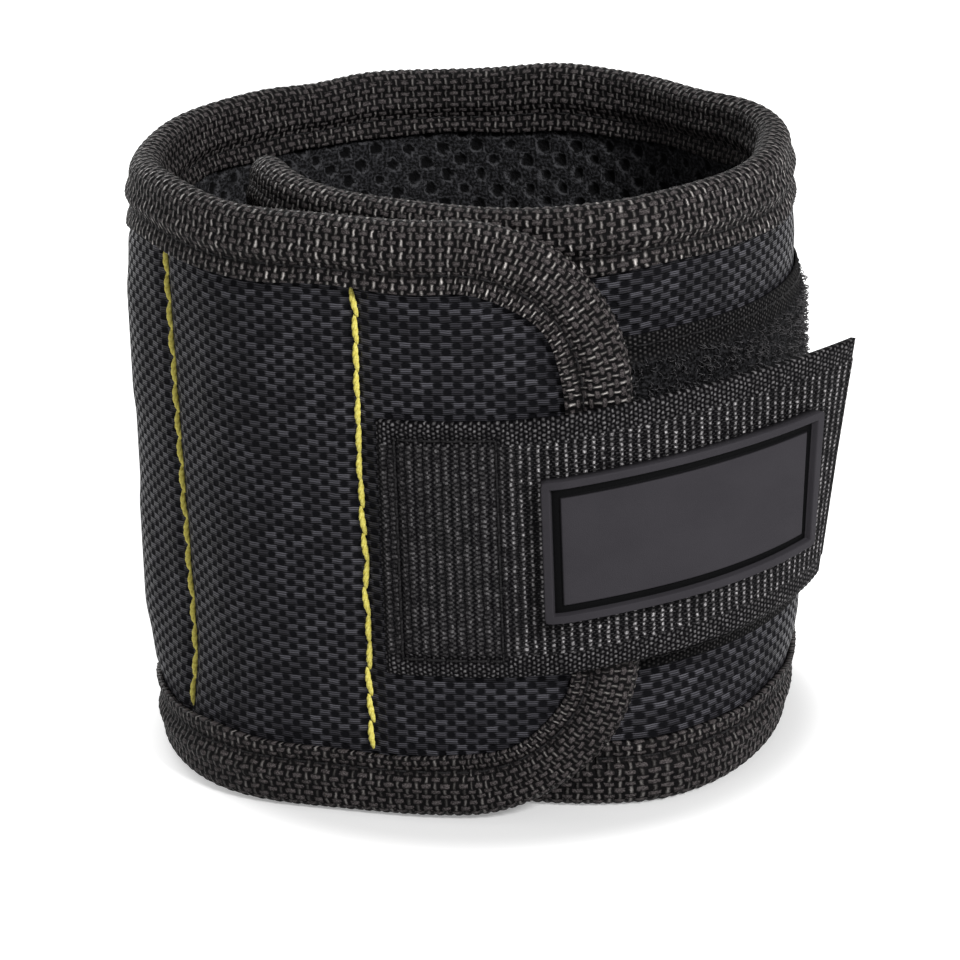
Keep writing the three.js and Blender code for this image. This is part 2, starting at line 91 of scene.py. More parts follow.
LOOP_PILE = 1.1
LOOP_SELVAGE = 3.0
LOOP_SEAM_MARGIN = 5.0
LOOP_END_MARGIN = 2.5
LOOP_STITCH_MARGIN = 1.5
STRAP_WIDTH = 38.2
STRAP_MIDDLE = 41.8
STRAP_THICKNESS = 1.4
STRAP_SEAM_MARGIN = 3.3
STRAP_RISE_RUN = 7.0
STRAP_CURL_RADIUS = 44.6
STRAP_SLOPE = 7.5
STRAP_LEAN = 10.5
STRAP_STITCH_MARGIN = 2.6
STRAP_TIP_MARGIN = 7.7
PATCH_LENGTH = 40.7
PATCH_HEIGHT = 21.1
PATCH_THICKNESS = 1.5
PATCH_RIM_WIDTH = 1.2
PATCH_RIM_RISE = 0.5
PATCH_GROOVE_WIDTH = 1.1
PATCH_GROOVE_DEPTH = 0.9
PATCH_SLOPE = 0.15
PATCH_MARGIN = 3.3
FOLD_MARGIN = 2.5
HINGE_PROUD = 0.2  # of the flap's hinge line over the sewing

# Sizes that follow
MAGNET_SAG = MAIN_RADIUS - math.sqrt(MAIN_RADIUS ** 2 - (MAGNET_DIAMETER / 2) ** 2)
PADDING_THICKNESS = MAGNET_THICKNESS + MAGNET_SAG
COVER_OUT = (COVER_THICKNESS + PADDING_THICKNESS + LINING_THICKNESS) / 2 + LAYER_GAP
COVER_IN = COVER_OUT - COVER_THICKNESS
PADDING_OUT = COVER_IN - LAYER_GAP
PADDING_IN = PADDING_OUT - PADDING_THICKNESS
LINING_OUT = PADDING_IN - LAYER_GAP
LINING_IN = -COVER_OUT
BINDING_IN = COVER_OUT + BINDING_GAP
BINDING_OUT = BINDING_IN + BINDING_WALL
STITCHING_OUT = BINDING_OUT + THREAD_GAP + FINE_THREAD
LOOP_SEAT = COVER_OUT + LAYER_GAP
LOOP_OUT = LOOP_SEAT + LOOP_BACKING + LOOP_PILE
WRAP_STEP = BINDING_OUT + LOOP_OUT + WRAP_CLEARANCE
LAST_SEAM = SEAM_FIRST + SEAM_PITCH * MAGNET_COLUMNS
FLAP_FOLD = SEAM_FIRST + SEAM_PITCH + FOLD_MARGIN
MIDDLE_SEAM = 3
HALF_SEAM = SEAM_FIRST + SEAM_PITCH * MIDDLE_SEAM  # where the left and right halves of the cloth meet

# Forms of the whole band
SWAY = 0.4  # the band's bow between two pocket seams
LONG_RIPPLE = 0.3  # waves of the upper edge
LONG_RIPPLE_RUN = 11.3
SHORT_RIPPLE = 0.2
SHORT_RIPPLE_RUN = 5.7
BULGE_HEIGHT = 22.0  # how far up or down a bulge of an edge is felt

# Forms of the cover, the lining and the padding
PUFF = 0.8  # crown of a pocket
CROWN_START = BINDING_WIDTH - 1  # how far in from the edge the crown starts
CROWN_FULL = BINDING_WIDTH + 3
STRIP_SHARE = 0.5  # of that crown, for the strips beside the loop tape
STRIP_FULL = BINDING_WIDTH + 5
SEAM_PINCH = 0.8
SEAM_GROOVE = 1.7  # reach of the pinch either side of a seam
PINCH_START = 7.0  # how far in from the edge a seam starts to pinch
PINCH_FULL = BINDING_WIDTH + 1
FLAP_SEAM = 1  # the one beside the flap's hinge, counted from 0
SEAM_TILT = 4.6  # of that seam, which runs a little out of upright
MAGNET_BULGE = 0.3
MAGNET_SLOPE = 5.0  # run in which the cover falls away from a magnet
COVER_FLOAT = 1.45  # weave of the cover along the band
COVER_ROW = 0.98  # weave of the cover up the band
COVER_STEP = 1.0
HOLE_PITCH = 5.6  # of the lining's holes along the band
HOLE_ROW = 2.35
HOLE_RADIUS = 1.25
HOLE_SPREAD = 0.1  # of the radius, from hole to hole
HOLE_EDGE = 0.5
HOLE_DEPTH = 0.75
HOLE_WANDER = 0.3
STRAY_ALONG = (12.9, 78.2)  # turns of a hole's stray for each column and row
STRAY_ACROSS = (39.3, 11.1)
STRAY_RADIUS = (4.1, 2.7)
LINING_STEP = 0.7
PADDING_STEP = 1.2
POCKET_ROOM = 0.3  # round a magnet in the padding
POCKET_EDGE = 1.0
POCKET_HEADROOM = 0.1  # between a magnet and the padding over it

# Forms of the binding
TAPE_COLUMN = 1.36  # weave along the tape
TAPE_ROW = 0.95  # weave across the tape
TAPE_RELIEF = 0.26
BAR_FADE = (0.4, 0.8)  # where an upright bar falls off and a level yarn rises, as shares of a row
YARN_FADE = (0.5, 0.95)
YARN_RISE = 0.7
TAPE_RIM = 2.9  # how far in from the edge the round rim starts
TAPE_RIM_DEPTH = 2.45
TAPE_SUNK = 0.1  # how far the tape lies inside its solid
TAPE_SWELL = 0.45
SWELL_START = 0.3  # share of the way from the cut edge to the rim
TAPER_START = 0.5
TAPE_GROOVE = 0.45  # depth of the sewn row
TAPE_FLARE = 0.2  # of the cut edge beside the sewn row
SEWN_SHIFT = 0.9  # of the sewn row towards the edge, from where the solids have it
SEWN_REACH = 1.1
STITCH_ROW = BINDING_WIDTH - BINDING_STITCH_MARGIN - SEWN_SHIFT  # in from the edge
TAPE_WANDER = 0.35  # of the cut edges
LONG_WANDER_RUN = 6.1
SHORT_WANDER_RUN = 3.3
WANDER_START = 4.0
TAPE_SAMPLES = 3  # points a column
SECTION_POINTS = 80
FOLD_POINTS = 6

# Forms of the threads
STITCH_LENGTH = 3.0
STITCH_RISE = 0.4
STITCH_GAP = 0.04  # share of a stitch that is out of sight at each end
STITCH_RINGS = 7
FINE_STRAND = FINE_THREAD / 3  # radius of a stitch
THREAD_SIDES = 6
SEWING_STEP = 1.0
BOX_SPOTS = 401
SEAM_PLIES = 3
SEAM_PLY = 0.27  # radius of one of a yellow stitch's plies
SEAM_TWIST = 0.21
SEAM_TURNS = 1.2
SEAM_LEAN = 0.8  # of a stitch across the seam, from end to end
SEAM_SLACK = (-0.6, 1.0)  # least and most share of that lean
SEAM_SHIFT = 0.18  # of a whole stitch to either side
SEAM_OVERLAP = 0.03  # share of a stitch that lies under the next
SEAM_TIP = 0.02  # share of a stitch at which its ends are blunt
SEAM_FULLNESS = 0.4
SEAM_TAPER = 0.4  # thickness of a ply at a stitch's ends
SEAM_RISE = 0.6
SEAM_SUNK = 0.25
SEAM_RINGS = 15
SEAM_SIDES = 7

# Forms of the loop tape
LOOP_STEP = 0.7
LOOP_TUFT = (0.35, 0.75)  # least and most share of the pile's height
LOOP_EDGE_DROP = 0.12
LOOP_EDGE_RUN = 0.6
PILE_LOOPS = 6200
PILE_MARGIN = 0.4
PILE_SPAN = (0.5, 1.3)
PILE_STAND = (0.75, 1.3)
PILE_ROOT = 0.25
PILE_RADIUS = 0.07
PILE_RINGS = 6
PILE_SIDES = 3

# Forms of the strap and the patch
KNIT_COLUMN = 1.26  # weave along the strap
KNIT_ROW = 0.72  # weave across the strap
KNIT_RELIEF = 0.16
KNIT_SAMPLES = 4  # points a column
RIB_SUNK = 0.1
STRAP_SELVAGE = 3.2
SELVAGE_DROP = 0.18
STRAP_EDGE_DROP = 0.35
STRAP_EDGE_RUN = 0.9
STRAP_PRESS = 0.3
PRESS_PAST = 0.5  # how far the pressed rows run past their corners
PRESS_REACH = 0.9
STRAP_DROOP = 1.5  # of the upper corner of the strap's tip
HOOK_START = 3.0  # past the flap
HOOK_MARGIN = 2.0
HOOK_PITCH = 1.5
HOOK_HEIGHT = 0.55
HOOK_BEND = 0.2
HOOK_TURN = 1.25 * math.pi
HOOK_RADIUS = 0.1
HOOK_RINGS = 8
HOOK_SIDES = 5
PATCH_CORNER = 0.6
PATCH_EDGE = 0.18  # round of its outer edge
PATCH_STEP = 0.8
EDGE_LINES = 5
TURN_LINES = 8
TURN_BEFORE = 0.3  # how far before and after a turn of the patch its lines lie close
RIM_AFTER = 0.2
GROOVE_AFTER = 0.6
RIM_FALL = 0.1
PATCH_THREAD_SUNK = 0.36

# Strands and their bake map
CHART_MARGIN = 0.05
STEEP = 0.7
UPWARD = (0.0, 0.28, 0.96)
SIDEWAYS = (0.8, 0.6, 0.0)

# Stage, in metres
FLOOR_REACH = 9.0
FLOOR_WHITE = (0.8, 0.8, 0.8, 1.0)
GLOW_NEAR = 0.28  # the floor's own light, by the object and away from it
GLOW_FAR = 0.85
SHADE_WIDTH = 0.0565  # half width and half depth of the oval of painted shadow, in which that light is less
SHADE_DEPTH = 0.065
SHADE_FORWARD = 0.003
SHADE_CORE = 0.78  # share of the oval in which it is least
WORLD_LIGHT = 0.18
LAMP_AIM = (0, 0, 0.045)

# Camera, in millimetres from the middle of the roll
CAMERA_PLACE = (-1.0, -723.8, 262.1)
CAMERA_AIM = (1.0, -12.6, 39.8)
CAMERA_ROLL = -2.2
CAMERA_LENS = 185.8
CAMERA_SENSOR = 36.0


# Shape of the roll

def smoothstep(value, low, high):
    share = np.clip((value - low) / (high - low), 0, 1)
    return share * share * (3 - 2 * share)


def outward(angle):
    return np.stack([np.sin(angle), -np.cos(angle)], axis=-1)


class Path:
    """A path in plan made of arcs, each tangent to the last and given by its radius and length."""

    def __init__(self, start, angle, sense, arcs):
        self.sense = sense
        self.radii, lengths = np.array(arcs).T
        self.length = lengths.sum()
        self.starts = np.cumsum(lengths) - lengths
        turns = sense * lengths / self.radii
        self.facings = angle + np.cumsum(turns) - turns
        inward = outward(self.facings) * -np.diff(self.radii, prepend=0)[:, None]
        self.centres = start + np.cumsum(inward, axis=0)

    def plan(self, distance, depth):
        arc = np.clip(np.searchsorted(self.starts, distance, side="right") - 1, 0, None)
        turned = self.facings[arc] + self.sense * (distance - self.starts[arc]) / self.radii[arc]
        return self.centres[arc] + outward(turned) * (self.radii[arc] + depth)[..., None]


# The flap's arc is flatter than the main roll, whose middle is the origin. A tight bend, which touches
# both, tucks the tail one step inside the flap.
FLAP_RADIUS = MAIN_RADIUS + FLAP_EASE
FLAP_ANGLE = math.radians(FLAP_REACH)
FLAP_JOIN = FLAP_ANGLE - math.radians(FLAP_TURN)
FLAP_CENTRE = outward(FLAP_JOIN) * -FLAP_EASE
TUCK_OFFSET = FLAP_RADIUS - WRAP_STEP - TUCK_RADIUS
TUCK_TURN = math.acos(
    1 - WRAP_STEP / FLAP_EASE + WRAP_STEP * (2 * FLAP_EASE - WRAP_STEP) / (2 * TUCK_OFFSET * FLAP_EASE))
TUCK_END = FLAP_JOIN + TUCK_TURN
TUCK_CENTRE = FLAP_CENTRE + outward(TUCK_END) * TUCK_OFFSET
TUCK_START = math.atan2(TUCK_CENTRE[0], -TUCK_CENTRE[1])
BAND = Path(FLAP_CENTRE + outward(FLAP_ANGLE) * FLAP_RADIUS, FLAP_ANGLE, -1, [
    (FLAP_RADIUS, FLAP_RADIUS * math.radians(FLAP_TURN)),
    (MAIN_RADIUS, MAIN_RADIUS * (FLAP_JOIN - TUCK_START + 2 * math.pi)),
    (TUCK_RADIUS, TUCK_RADIUS * (TUCK_START - TUCK_END)),
    (TAIL_RADIUS, TAIL_RADIUS * math.radians(TAIL_TURN)),
])
BAND_LENGTH = BAND.length
HINGE = np.array(JOINTS["flap_open"]["pos_m"][:2]) / MM
ROLL_MIDDLE = HINGE - BAND.plan(np.array(FLAP_FOLD), np.array(STITCHING_OUT + HINGE_PROUD))


def in_frame(plan, height):
    """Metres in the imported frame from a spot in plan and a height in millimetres."""
    return np.concatenate([plan + ROLL_MIDDLE, height[..., None]], axis=-1) * MM


def sway(place):
    """The band's wave in plan: drawn in at each pocket seam and bowed out between seams."""
    wave = -np.cos(2 * np.pi * (place - SEAM_FIRST) / SEAM_PITCH)
    start = smoothstep(place, SEAM_FIRST - SEAM_PITCH / 2, SEAM_FIRST + SEAM_PITCH / 2)
    end = 1 - smoothstep(place, LAST_SEAM - SEAM_PITCH / 2, LAST_SEAM)
    return SWAY * wave * start * end


def ripple(place):
    return LONG_RIPPLE * np.sin(place / LONG_RIPPLE_RUN + 1) + SHORT_RIPPLE * np.sin(place / SHORT_RIPPLE_RUN)


@dataclass
class Bulge:
    """A stretch of the band's upper or lower edge that stands out of the roll or up, or dips in or down."""
    place: float
    reach: float
    edge: float
    out: float = 0.0
    up: float = 0.0

    def share(self, place, height):
        near = np.exp(-((place - self.place) / self.reach) ** 2)
        return near * (1 - smoothstep(np.abs(height - self.edge), 0, BULGE_HEIGHT))


LOWER = 0.0
UPPER = BAND_WIDTH
LEFT_PLACE = 94.0
RIGHT_PLACE = 250.0
TUCK_PLACE = BAND.starts[-1]
BULGES = (
    Bulge(10.0, 16.0, LOWER, up=1.0),
    Bulge(LEFT_PLACE - 28, 18.0, LOWER, out=3.0),
    Bulge(LEFT_PLACE + 8, 14.0, LOWER, out=-3.5),
    Bulge(LEFT_PLACE, 14.0, UPPER, out=-0.9),
    Bulge(150.0, 7.0, UPPER, up=-0.9),
    Bulge(190.0, 8.0, UPPER, up=0.7),
    Bulge(LAST_SEAM, 11.0, UPPER, out=-2.2, up=-0.7),
    Bulge(RIGHT_PLACE, 20.0, LOWER, out=-3.3),
    Bulge(RIGHT_PLACE + 4, 9.0, UPPER, out=-1.0),
    Bulge(TUCK_PLACE - 4, 18.0, LOWER, out=4.1),
    Bulge(TUCK_PLACE, 16.0, UPPER, out=2.0),
)


def swell(place, height):
    return sum(bulge.out * bulge.share(place, height) for bulge in BULGES)


def lift(place, height):
    """How far the cloth is raised: the bulges of both edges and the wave of the upper one."""
    wave = ripple(place) * smoothstep(height, BAND_WIDTH / 2, BAND_WIDTH)
    return wave + sum(bulge.up * bulge.share(place, height) for bulge in BULGES)


def on_band(place, depth, height):
    """A point of the band, with the band's sway, its bulges and the wave of its upper edge."""
    place, depth, height = np.broadcast_arrays(place, depth, height)
    plan = BAND.plan(place, depth + sway(place) + swell(place, height))
    return in_frame(plan, height + lift(place, height))


STRAP_SEAT = COVER_OUT + LAYER_GAP
STRAP_START = SEAM_FIRST - STRAP_SEAM_MARGIN
STRAP_FOLD = BINDING_WIDTH + STRAP_RISE_RUN
STRAP_RISE = STITCHING_OUT + LAYER_GAP - STRAP_SEAT
STRAP_RADIUS = FLAP_RADIUS + STRAP_SEAT
STRAP_ON_FLAP = STRAP_FOLD * STRAP_RADIUS / FLAP_RADIUS
STRAP_FREE = PATCH_MARGIN + PATCH_LENGTH + STRAP_TIP_MARGIN
STRAP_BASE = STRAP_START - STRAP_FOLD
STRAP_LOW = STRAP_MIDDLE - STRAP_WIDTH / 2
STRAP_HIGH = STRAP_MIDDLE + STRAP_WIDTH / 2
STRAP_ANGLE = FLAP_ANGLE - STRAP_FOLD / FLAP_RADIUS
FREE_END = Path(FLAP_CENTRE + outward(STRAP_ANGLE) * STRAP_RADIUS, STRAP_ANGLE, 1, [
    (STRAP_RADIUS, STRAP_ON_FLAP),
    (STRAP_CURL_RADIUS, STRAP_FREE - STRAP_ON_FLAP),
])


def on_strap(distance, depth, height):
    """A point of the hook strap. Distances below 0 are on its base, which is sewn on the flap."""
    distance, depth, height = np.broadcast_arrays(distance, depth, height)
    base = on_band(STRAP_FOLD - distance, STRAP_SEAT + depth, height)
    climb = STRAP_RISE * smoothstep(distance, 0, STRAP_RISE_RUN)
    share = np.clip((distance - STRAP_ON_FLAP) / (STRAP_FREE - STRAP_ON_FLAP), 0, None)
    lean = math.tan(math.radians(STRAP_LEAN)) * share ** 2 * (height - STRAP_MIDDLE)
    slope = math.tan(math.radians(STRAP_SLOPE)) * distance
    below = np.maximum(STRAP_FOLD - distance, 0)
    plan = FREE_END.plan(distance, depth + climb + lean + swell(below, height))
    droop = STRAP_DROOP * share ** 2 * np.clip((height - STRAP_MIDDLE) / (STRAP_WIDTH / 2), 0, 1)
    free = in_frame(plan, height + slope - droop + lift(below, height))
    return np.where((distance < 0)[..., None], base, free)


# Lines

def unit(vectors):
    return vectors / np.linalg.norm(vectors, axis=-1, keepdims=True)


def steps(start, stop, step):
    """Even steps from start to stop, none longer than the one given."""
    return np.linspace(start, stop, math.ceil((stop - start) / step) + 1)


def run_along(line):
    """Length so far at each point of a flat line."""
    return np.concatenate([[0], np.cumsum(np.linalg.norm(np.diff(line, axis=0), axis=1))])


def spots_on(line, run, along):
    """Spots of a flat line, given its run at each point and how far along they lie."""
    return np.stack([np.interp(along, run, line[:, axis]) for axis in range(2)], axis=-1)


def edge_distance(place, height, start, stop, low, high):
    """Distance to the nearest edge of a rectangle."""
    return np.minimum.reduce([place - start, stop - place, height - low, high - height])


# Meshes

def make_piece(name, points, groups, material, flat):
    """A mesh from points in metres and groups of faces, each with its bake map and its shading.

    flat holds each point's place on the flat cloth, which the materials read.
    """
    corners = points.reshape(-1, 3)[groups[0][0][:, :3]]
    volume = np.einsum("ij,ij->", corners[:, 0], np.cross(corners[:, 1], corners[:, 2]))
    if volume < 0:
        groups = [(faces[:, ::-1], chart[:, ::-1], smooth) for faces, chart, smooth in groups]
    mesh = bpy.data.meshes.new(name)
    sizes = np.concatenate([np.full(len(faces), faces.shape[1]) for faces, _, _ in groups])
    loops = np.concatenate([faces.ravel() for faces, _, _ in groups])
    mesh.vertices.add(points.size // 3)
    mesh.vertices.foreach_set("co", points.astype(np.float32).ravel())
    mesh.loops.add(len(loops))
    mesh.loops.foreach_set("vertex_index", loops.astype(np.int32))
    mesh.polygons.add(len(sizes))
    mesh.polygons.foreach_set("loop_start", np.concatenate([[0], np.cumsum(sizes)[:-1]]).astype(np.int32))
    smooth_faces = np.concatenate([np.full(len(faces), smooth) for faces, _, smooth in groups])
    mesh.polygons.foreach_set("use_smooth", smooth_faces)
    mesh.update(calc_edges=True)
    chart = np.concatenate([chart.reshape(-1, 2) for _, chart, _ in groups])
    mesh.uv_layers.new(name="OFBake").uv.foreach_set("vector", chart.astype(np.float32).ravel())
    cloth = mesh.attributes.new("flat", "FLOAT_VECTOR", "POINT")
    cloth.data.foreach_set("vector", flat.astype(np.float32).ravel())
    mesh.materials.append(material)
    piece = bpy.data.objects.new(name, mesh)
    bpy.context.scene.collection.objects.link(piece)
    return piece


def skin(index):
    """Faces over rings of points, and how far along and around the rings each face's corners lie."""
    ahead = np.roll(index, -1, axis=-1)
    faces = np.stack([index[..., :-1, :], ahead[..., :-1, :], ahead[..., 1:, :], index[..., 1:, :]], axis=-1)
    rings, sides = index.shape[-2:]
    ring, side = np.meshgrid(np.arange(rings - 1), np.arange(sides), indexing="ij")
    along = np.stack([ring, ring, ring + 1, ring + 1], axis=-1) / (rings - 1)
    around = np.stack([side, side + 1, side + 1, side], axis=-1) / sides
    return faces.reshape(-1, 4), along, around


def loft(name, rings, flat, material):
    """A closed solid skinned over rings of points, with flat caps on its ends."""
    count, size = rings.shape[:2]
    index = np.arange(count * size).reshape(count, size)
    quads, along, around = skin(index)
    chart = np.stack([along, around], axis=-1).reshape(-1, 4, 2)
    caps = np.stack([index[0][::-1], index[-1]])
    edge = np.arange(size) / size
    cap_chart = np.stack([np.stack([np.zeros(size), edge[::-1]], -1), np.stack([np.ones(size), edge], -1)])
    return make_piece(name, rings, [(quads, chart, True), (caps, cap_chart, False)], material, flat)


def strands(name, centres, radii, sides, material):
    """Many round strands in one mesh, from each strand's centre line and its radius along it."""
    count, rings = centres.shape[:2]
    radii = np.broadcast_to(radii, (count, rings))
    along = unit(np.gradient(centres, axis=1))
    run = unit(centres[:, -1] - centres[:, 0])
    reference = np.where(np.abs(run[:, 2:]) > STEEP, SIDEWAYS, UPWARD)[:, None, :]
    first = unit(np.cross(along, reference))
    second = np.cross(along, first)
    angle = 2 * np.pi * np.arange(sides) / sides
    spoke = np.cos(angle)[:, None] * first[:, :, None] + np.sin(angle)[:, None] * second[:, :, None]
    points = centres[:, :, None] + radii[..., None, None] * MM * spoke
    index = np.arange(count * rings * sides).reshape(count, rings, sides)
    quads, across, around = skin(index)
    cells = math.ceil(math.sqrt(count))
    row, column = np.divmod(np.arange(count), cells)
    corner = np.stack([column, row], axis=-1)[:, None, None, None]
    spread = np.stack([across, around], axis=-1) * (1 - 2 * CHART_MARGIN)
    chart = (corner + CHART_MARGIN + spread) / cells
    caps = np.concatenate([index[:, 0, ::-1], index[:, -1]])
    cap_chart = np.zeros((len(caps), sides, 2))
    flat = np.zeros(points.shape)
    flat[..., 0] = np.linspace(0, 1, rings)[:, None]
    flat[..., 1] = np.arange(count)[:, None, None]
    groups = [(quads, chart.reshape(-1, 4, 2), True), (caps, cap_chart, True)]
    return make_piece(name, points, groups, material, flat)


# Materials

def colour(red, green, blue):
    """A colour picked from 0 to 255, as the linear values that shaders take."""
    share = np.array([red, green, blue]) / 255
    linear = np.where(share <= 0.04045, share / 12.92, ((share + 0.055) / 1.055) ** 2.4)
    return (*linear, 1.0)


class Value:
    """A number that shader nodes work out, to be reckoned with like any other."""

    def __init__(self, tree, socket):
        self.tree = tree
        self.socket = socket

    def math(self, operation, *others):
        return self.tree.math(operation, self, *others)

    def __add__(self, other):
        return self.math("ADD", other)

    def __sub__(self, other):
        return self.math("SUBTRACT", other)

    def __rsub__(self, other):
        return self.tree.math("SUBTRACT", other, self)

    def __mul__(self, other):
        return self.math("MULTIPLY", other)

    def __truediv__(self, other):
        return self.math("DIVIDE", other)

    def __pow__(self, other):
        return self.math("POWER", other)

    def __abs__(self):
        return self.math("ABSOLUTE")

    def ramp(self, low, high, bottom=0.0, top=1.0):
        """A smooth change from bottom to top while the value goes from low to high."""
        values = (self, low, high, bottom, top)
        return self.tree.read(
            "Result", "ShaderNodeMapRange", *values, interpolation_type="SMOOTHSTEP")


class Tree:
    """The shader nodes of a material or a world."""

    def __init__(self, owner):
        owner.use_nodes = True
        self.nodes = owner.node_tree.nodes
        self.links = owner.node_tree.links

    def put(self, value, socket):
        if isinstance(value, Value):
            self.links.new(value.socket, socket)
        else:
            socket.default_value = value

    def node(self, kind, *values, **settings):
        """A new node with some settings and its first inputs filled."""
        node = self.nodes.new(kind)
        for name, setting in settings.items():
            setattr(node, name, setting)
        for value, socket in zip(values, node.inputs):
            self.put(value, socket)
        return node

    def read(self, output, kind, *values, **settings):
        """What one output of a new node gives."""
        return Value(self, self.node(kind, *values, **settings).outputs[output])

    def math(self, operation, *values):
        return self.read(0, "ShaderNodeMath", *values, operation=operation)

    def seen_by_eye(self):
        """1 for rays that show the background: straight, mirrored or through glass."""
        rays = self.node("ShaderNodeLightPath").outputs
        total = Value(self, rays["Is Camera Ray"])
        for name in ("Is Glossy Ray", "Is Transmission Ray"):
            total = total.math("MAXIMUM", Value(self, rays[name]))
        return total


class Paint(Tree):
    """A material whose pattern is worked out over the flat cloth, in millimetres."""

    def __init__(self, name, roughness, specular):
        self.material = bpy.data.materials.new(name)
        super().__init__(self.material)
        self.shader = self.nodes["Principled BSDF"]
        self.shader.inputs["Specular IOR Level"].default_value = specular
        self.roughen(roughness)

    def roughen(self, roughness):
        self.put(roughness, self.shader.inputs["Roughness"])

    def flat(self):
        """The flat cloth's vector, and its place, height and mark."""
        vector = self.read("Vector", "ShaderNodeAttribute", attribute_name="flat")
        split = self.node("ShaderNodeSeparateXYZ", vector)
        return vector, *(Value(self, socket) for socket in split.outputs)

    def mix(self, share, first, second):
        node = self.node("ShaderNodeMix", share, data_type="RGBA")
        self.put(first, node.inputs[6])
        self.put(second, node.inputs[7])
        return Value(self, node.outputs[2])

    def noise(self, vector, scale, detail=2.0):
        node = self.node("ShaderNodeTexNoise", vector)
        self.put(scale, node.inputs["Scale"])
        self.put(detail, node.inputs["Detail"])
        return Value(self, node.outputs["Fac"])

    def wander(self, value, vector, scale, amount):
        """A value that strays by up to half the amount either way."""
        return value + (self.noise(vector, scale) - 0.5) * amount

    def speck(self, first, second):
        """A random value for each pair of whole numbers."""
        pair = self.read(0, "ShaderNodeCombineXYZ", first, second)
        return self.read("Value", "ShaderNodeTexWhiteNoise", pair)

    def finish(self, tint, height, relief):
        """Sets the colour, and raises the surface by a height from 0 to 1 times the relief."""
        bump = self.node("ShaderNodeBump")
        self.put(height, bump.inputs["Height"])
        self.put(relief * MM, bump.inputs["Distance"])
        self.put(tint, self.shader.inputs["Base Color"])
        self.put(Value(self, bump.outputs[0]), self.shader.inputs["Normal"])
        return self.material


class Marks:
    """Short marks in lanes, every second lane shifted by half a pitch.

    across and along are the spot in a mark's own cell, from -1 to 1.
    """

    def __init__(self, paint, across, along, lane, pitch):
        self.across, number = self.cell(across / lane)
        shift = number.math("FLOORED_MODULO", 2.0) * 0.5
        self.along, turn = self.cell(along / pitch + shift)
        self.luck = paint.speck(number, turn)

    @staticmethod
    def cell(count):
        whole = count.math("FLOOR")
        return (count - whole) * 2.0 - 1.0, whole

    def stroke(self, width, length, soft):
        """1 on the mark, fading out over a soft edge, for a width and a length as shares of the cell."""
        sides = abs(self.across).ramp(width + soft, width - soft)
        return sides * abs(self.along).ramp(length + soft, length - soft)


def cover_cloth():
    """Level floats of shiny filaments, with a dark round-cornered spot of upright yarn between each two. The
    floats are painted lighter at their crowns and towards their tops, which is a painted highlight.
    """
    paint = Paint("cover_cloth", roughness=0.5, specular=0.04)
    vector, along, height, _ = paint.flat()
    floats = Marks(
        paint, paint.wander(height, vector, scale=0.4, amount=0.4),
        paint.wander(along, vector, scale=0.5, amount=0.7), COVER_ROW, 2 * COVER_FLOAT)
    from_spot = (1 - abs(floats.along)) * 2
    spot = ((from_spot ** 3 + abs(floats.across) ** 3) ** (1 / 3)).ramp(1.15, 0.55)
    lines = (floats.across * (3 * math.pi)).math("COSINE") * 0.5 + 0.5
    crown = (1 - spot) * abs(floats.across).ramp(1.0, 0.6, bottom=0.2)
    # Painted highlight: each float's lighter tone is painted brighter at its crown and towards its top, as
    # light from above would fall on it.
    float_and_painted_highlight = crown * lines.ramp(0.0, 1.0, bottom=0.2) * floats.across.ramp(-1.0, 0.4, bottom=0.3)
    filament = paint.mix(floats.luck, colour(56, 55, 60), colour(101, 100, 107))
    deep = paint.mix(spot, colour(9, 9, 11), colour(15, 15, 18))
    paint.roughen(crown.ramp(0.2, 0.8, bottom=0.8, top=0.35))
    relief = (1 - spot) * 0.8 + crown * lines * 0.2
    return paint.finish(paint.mix(float_and_painted_highlight, deep, filament), relief, 0.3)


def binding_tape():
    """Light upright bars in staggered columns, with dark level yarn between them and a dark sewn row.

    The bars are painted duller on the inside of the roll and towards its lower edge, which is painted shade,
    and brighter on the lip below the sewn row, which is a painted highlight.
    """
    paint = Paint("binding_tape", roughness=0.5, specular=0.05)
    vector, along, across, height = paint.flat()
    bars = Marks(
        paint, paint.wander(along, vector, scale=0.7, amount=0.6),
        paint.wander(across, vector, scale=0.8, amount=0.5), TAPE_COLUMN, 2 * TAPE_ROW)
    fibres = paint.noise(vector, scale=5.0, detail=4.0)
    patches = paint.noise(vector, scale=0.22).ramp(0.35, 0.65, bottom=0.5)
    bar = bars.stroke(width=0.26, length=0.5, soft=0.2)
    aside = bars.across * 0.9
    level = abs(bars.along).ramp(0.5, 0.9) * (1 - aside * aside).math("SQRT")
    lip = BINDING_WIDTH - STITCH_ROW
    sewn = abs(across - lip).ramp(0.2, 0.8, bottom=0.25)
    # Painted highlight: the bars on the lip below the sewn row are brighter than those on the face above it.
    raised = across.ramp(lip, lip + 0.5, bottom=1.0, top=0.76)
    # Painted shade: the bars on the tape's inner face, inside the roll, are dimmed.
    inside = across.ramp(10.0, 12.5, bottom=1.0, top=0.45)
    # Painted shade: the bars are dimmed towards the band's lower edge.
    lower_edge_shade = height.ramp(5.0, 60.0, bottom=0.38)
    yarn = paint.mix(fibres.ramp(0.3, 0.7), colour(28, 26, 27), colour(100, 94, 94))
    tape = paint.mix(level.ramp(0.1, 0.8) * sewn, colour(9, 8, 9), yarn)
    luck = bars.luck.ramp(0.0, 1.0, bottom=0.3)
    bright = bar * patches * sewn * raised * luck * inside * lower_edge_shade * fibres.ramp(0.25, 0.6, bottom=0.6)
    paint.roughen(bar.ramp(0.1, 0.6, bottom=0.55, top=0.33))
    relief = bar + level * 0.7 + fibres * 0.3
    return paint.finish(paint.mix(bright, tape, colour(234, 227, 223)), relief, 0.35)


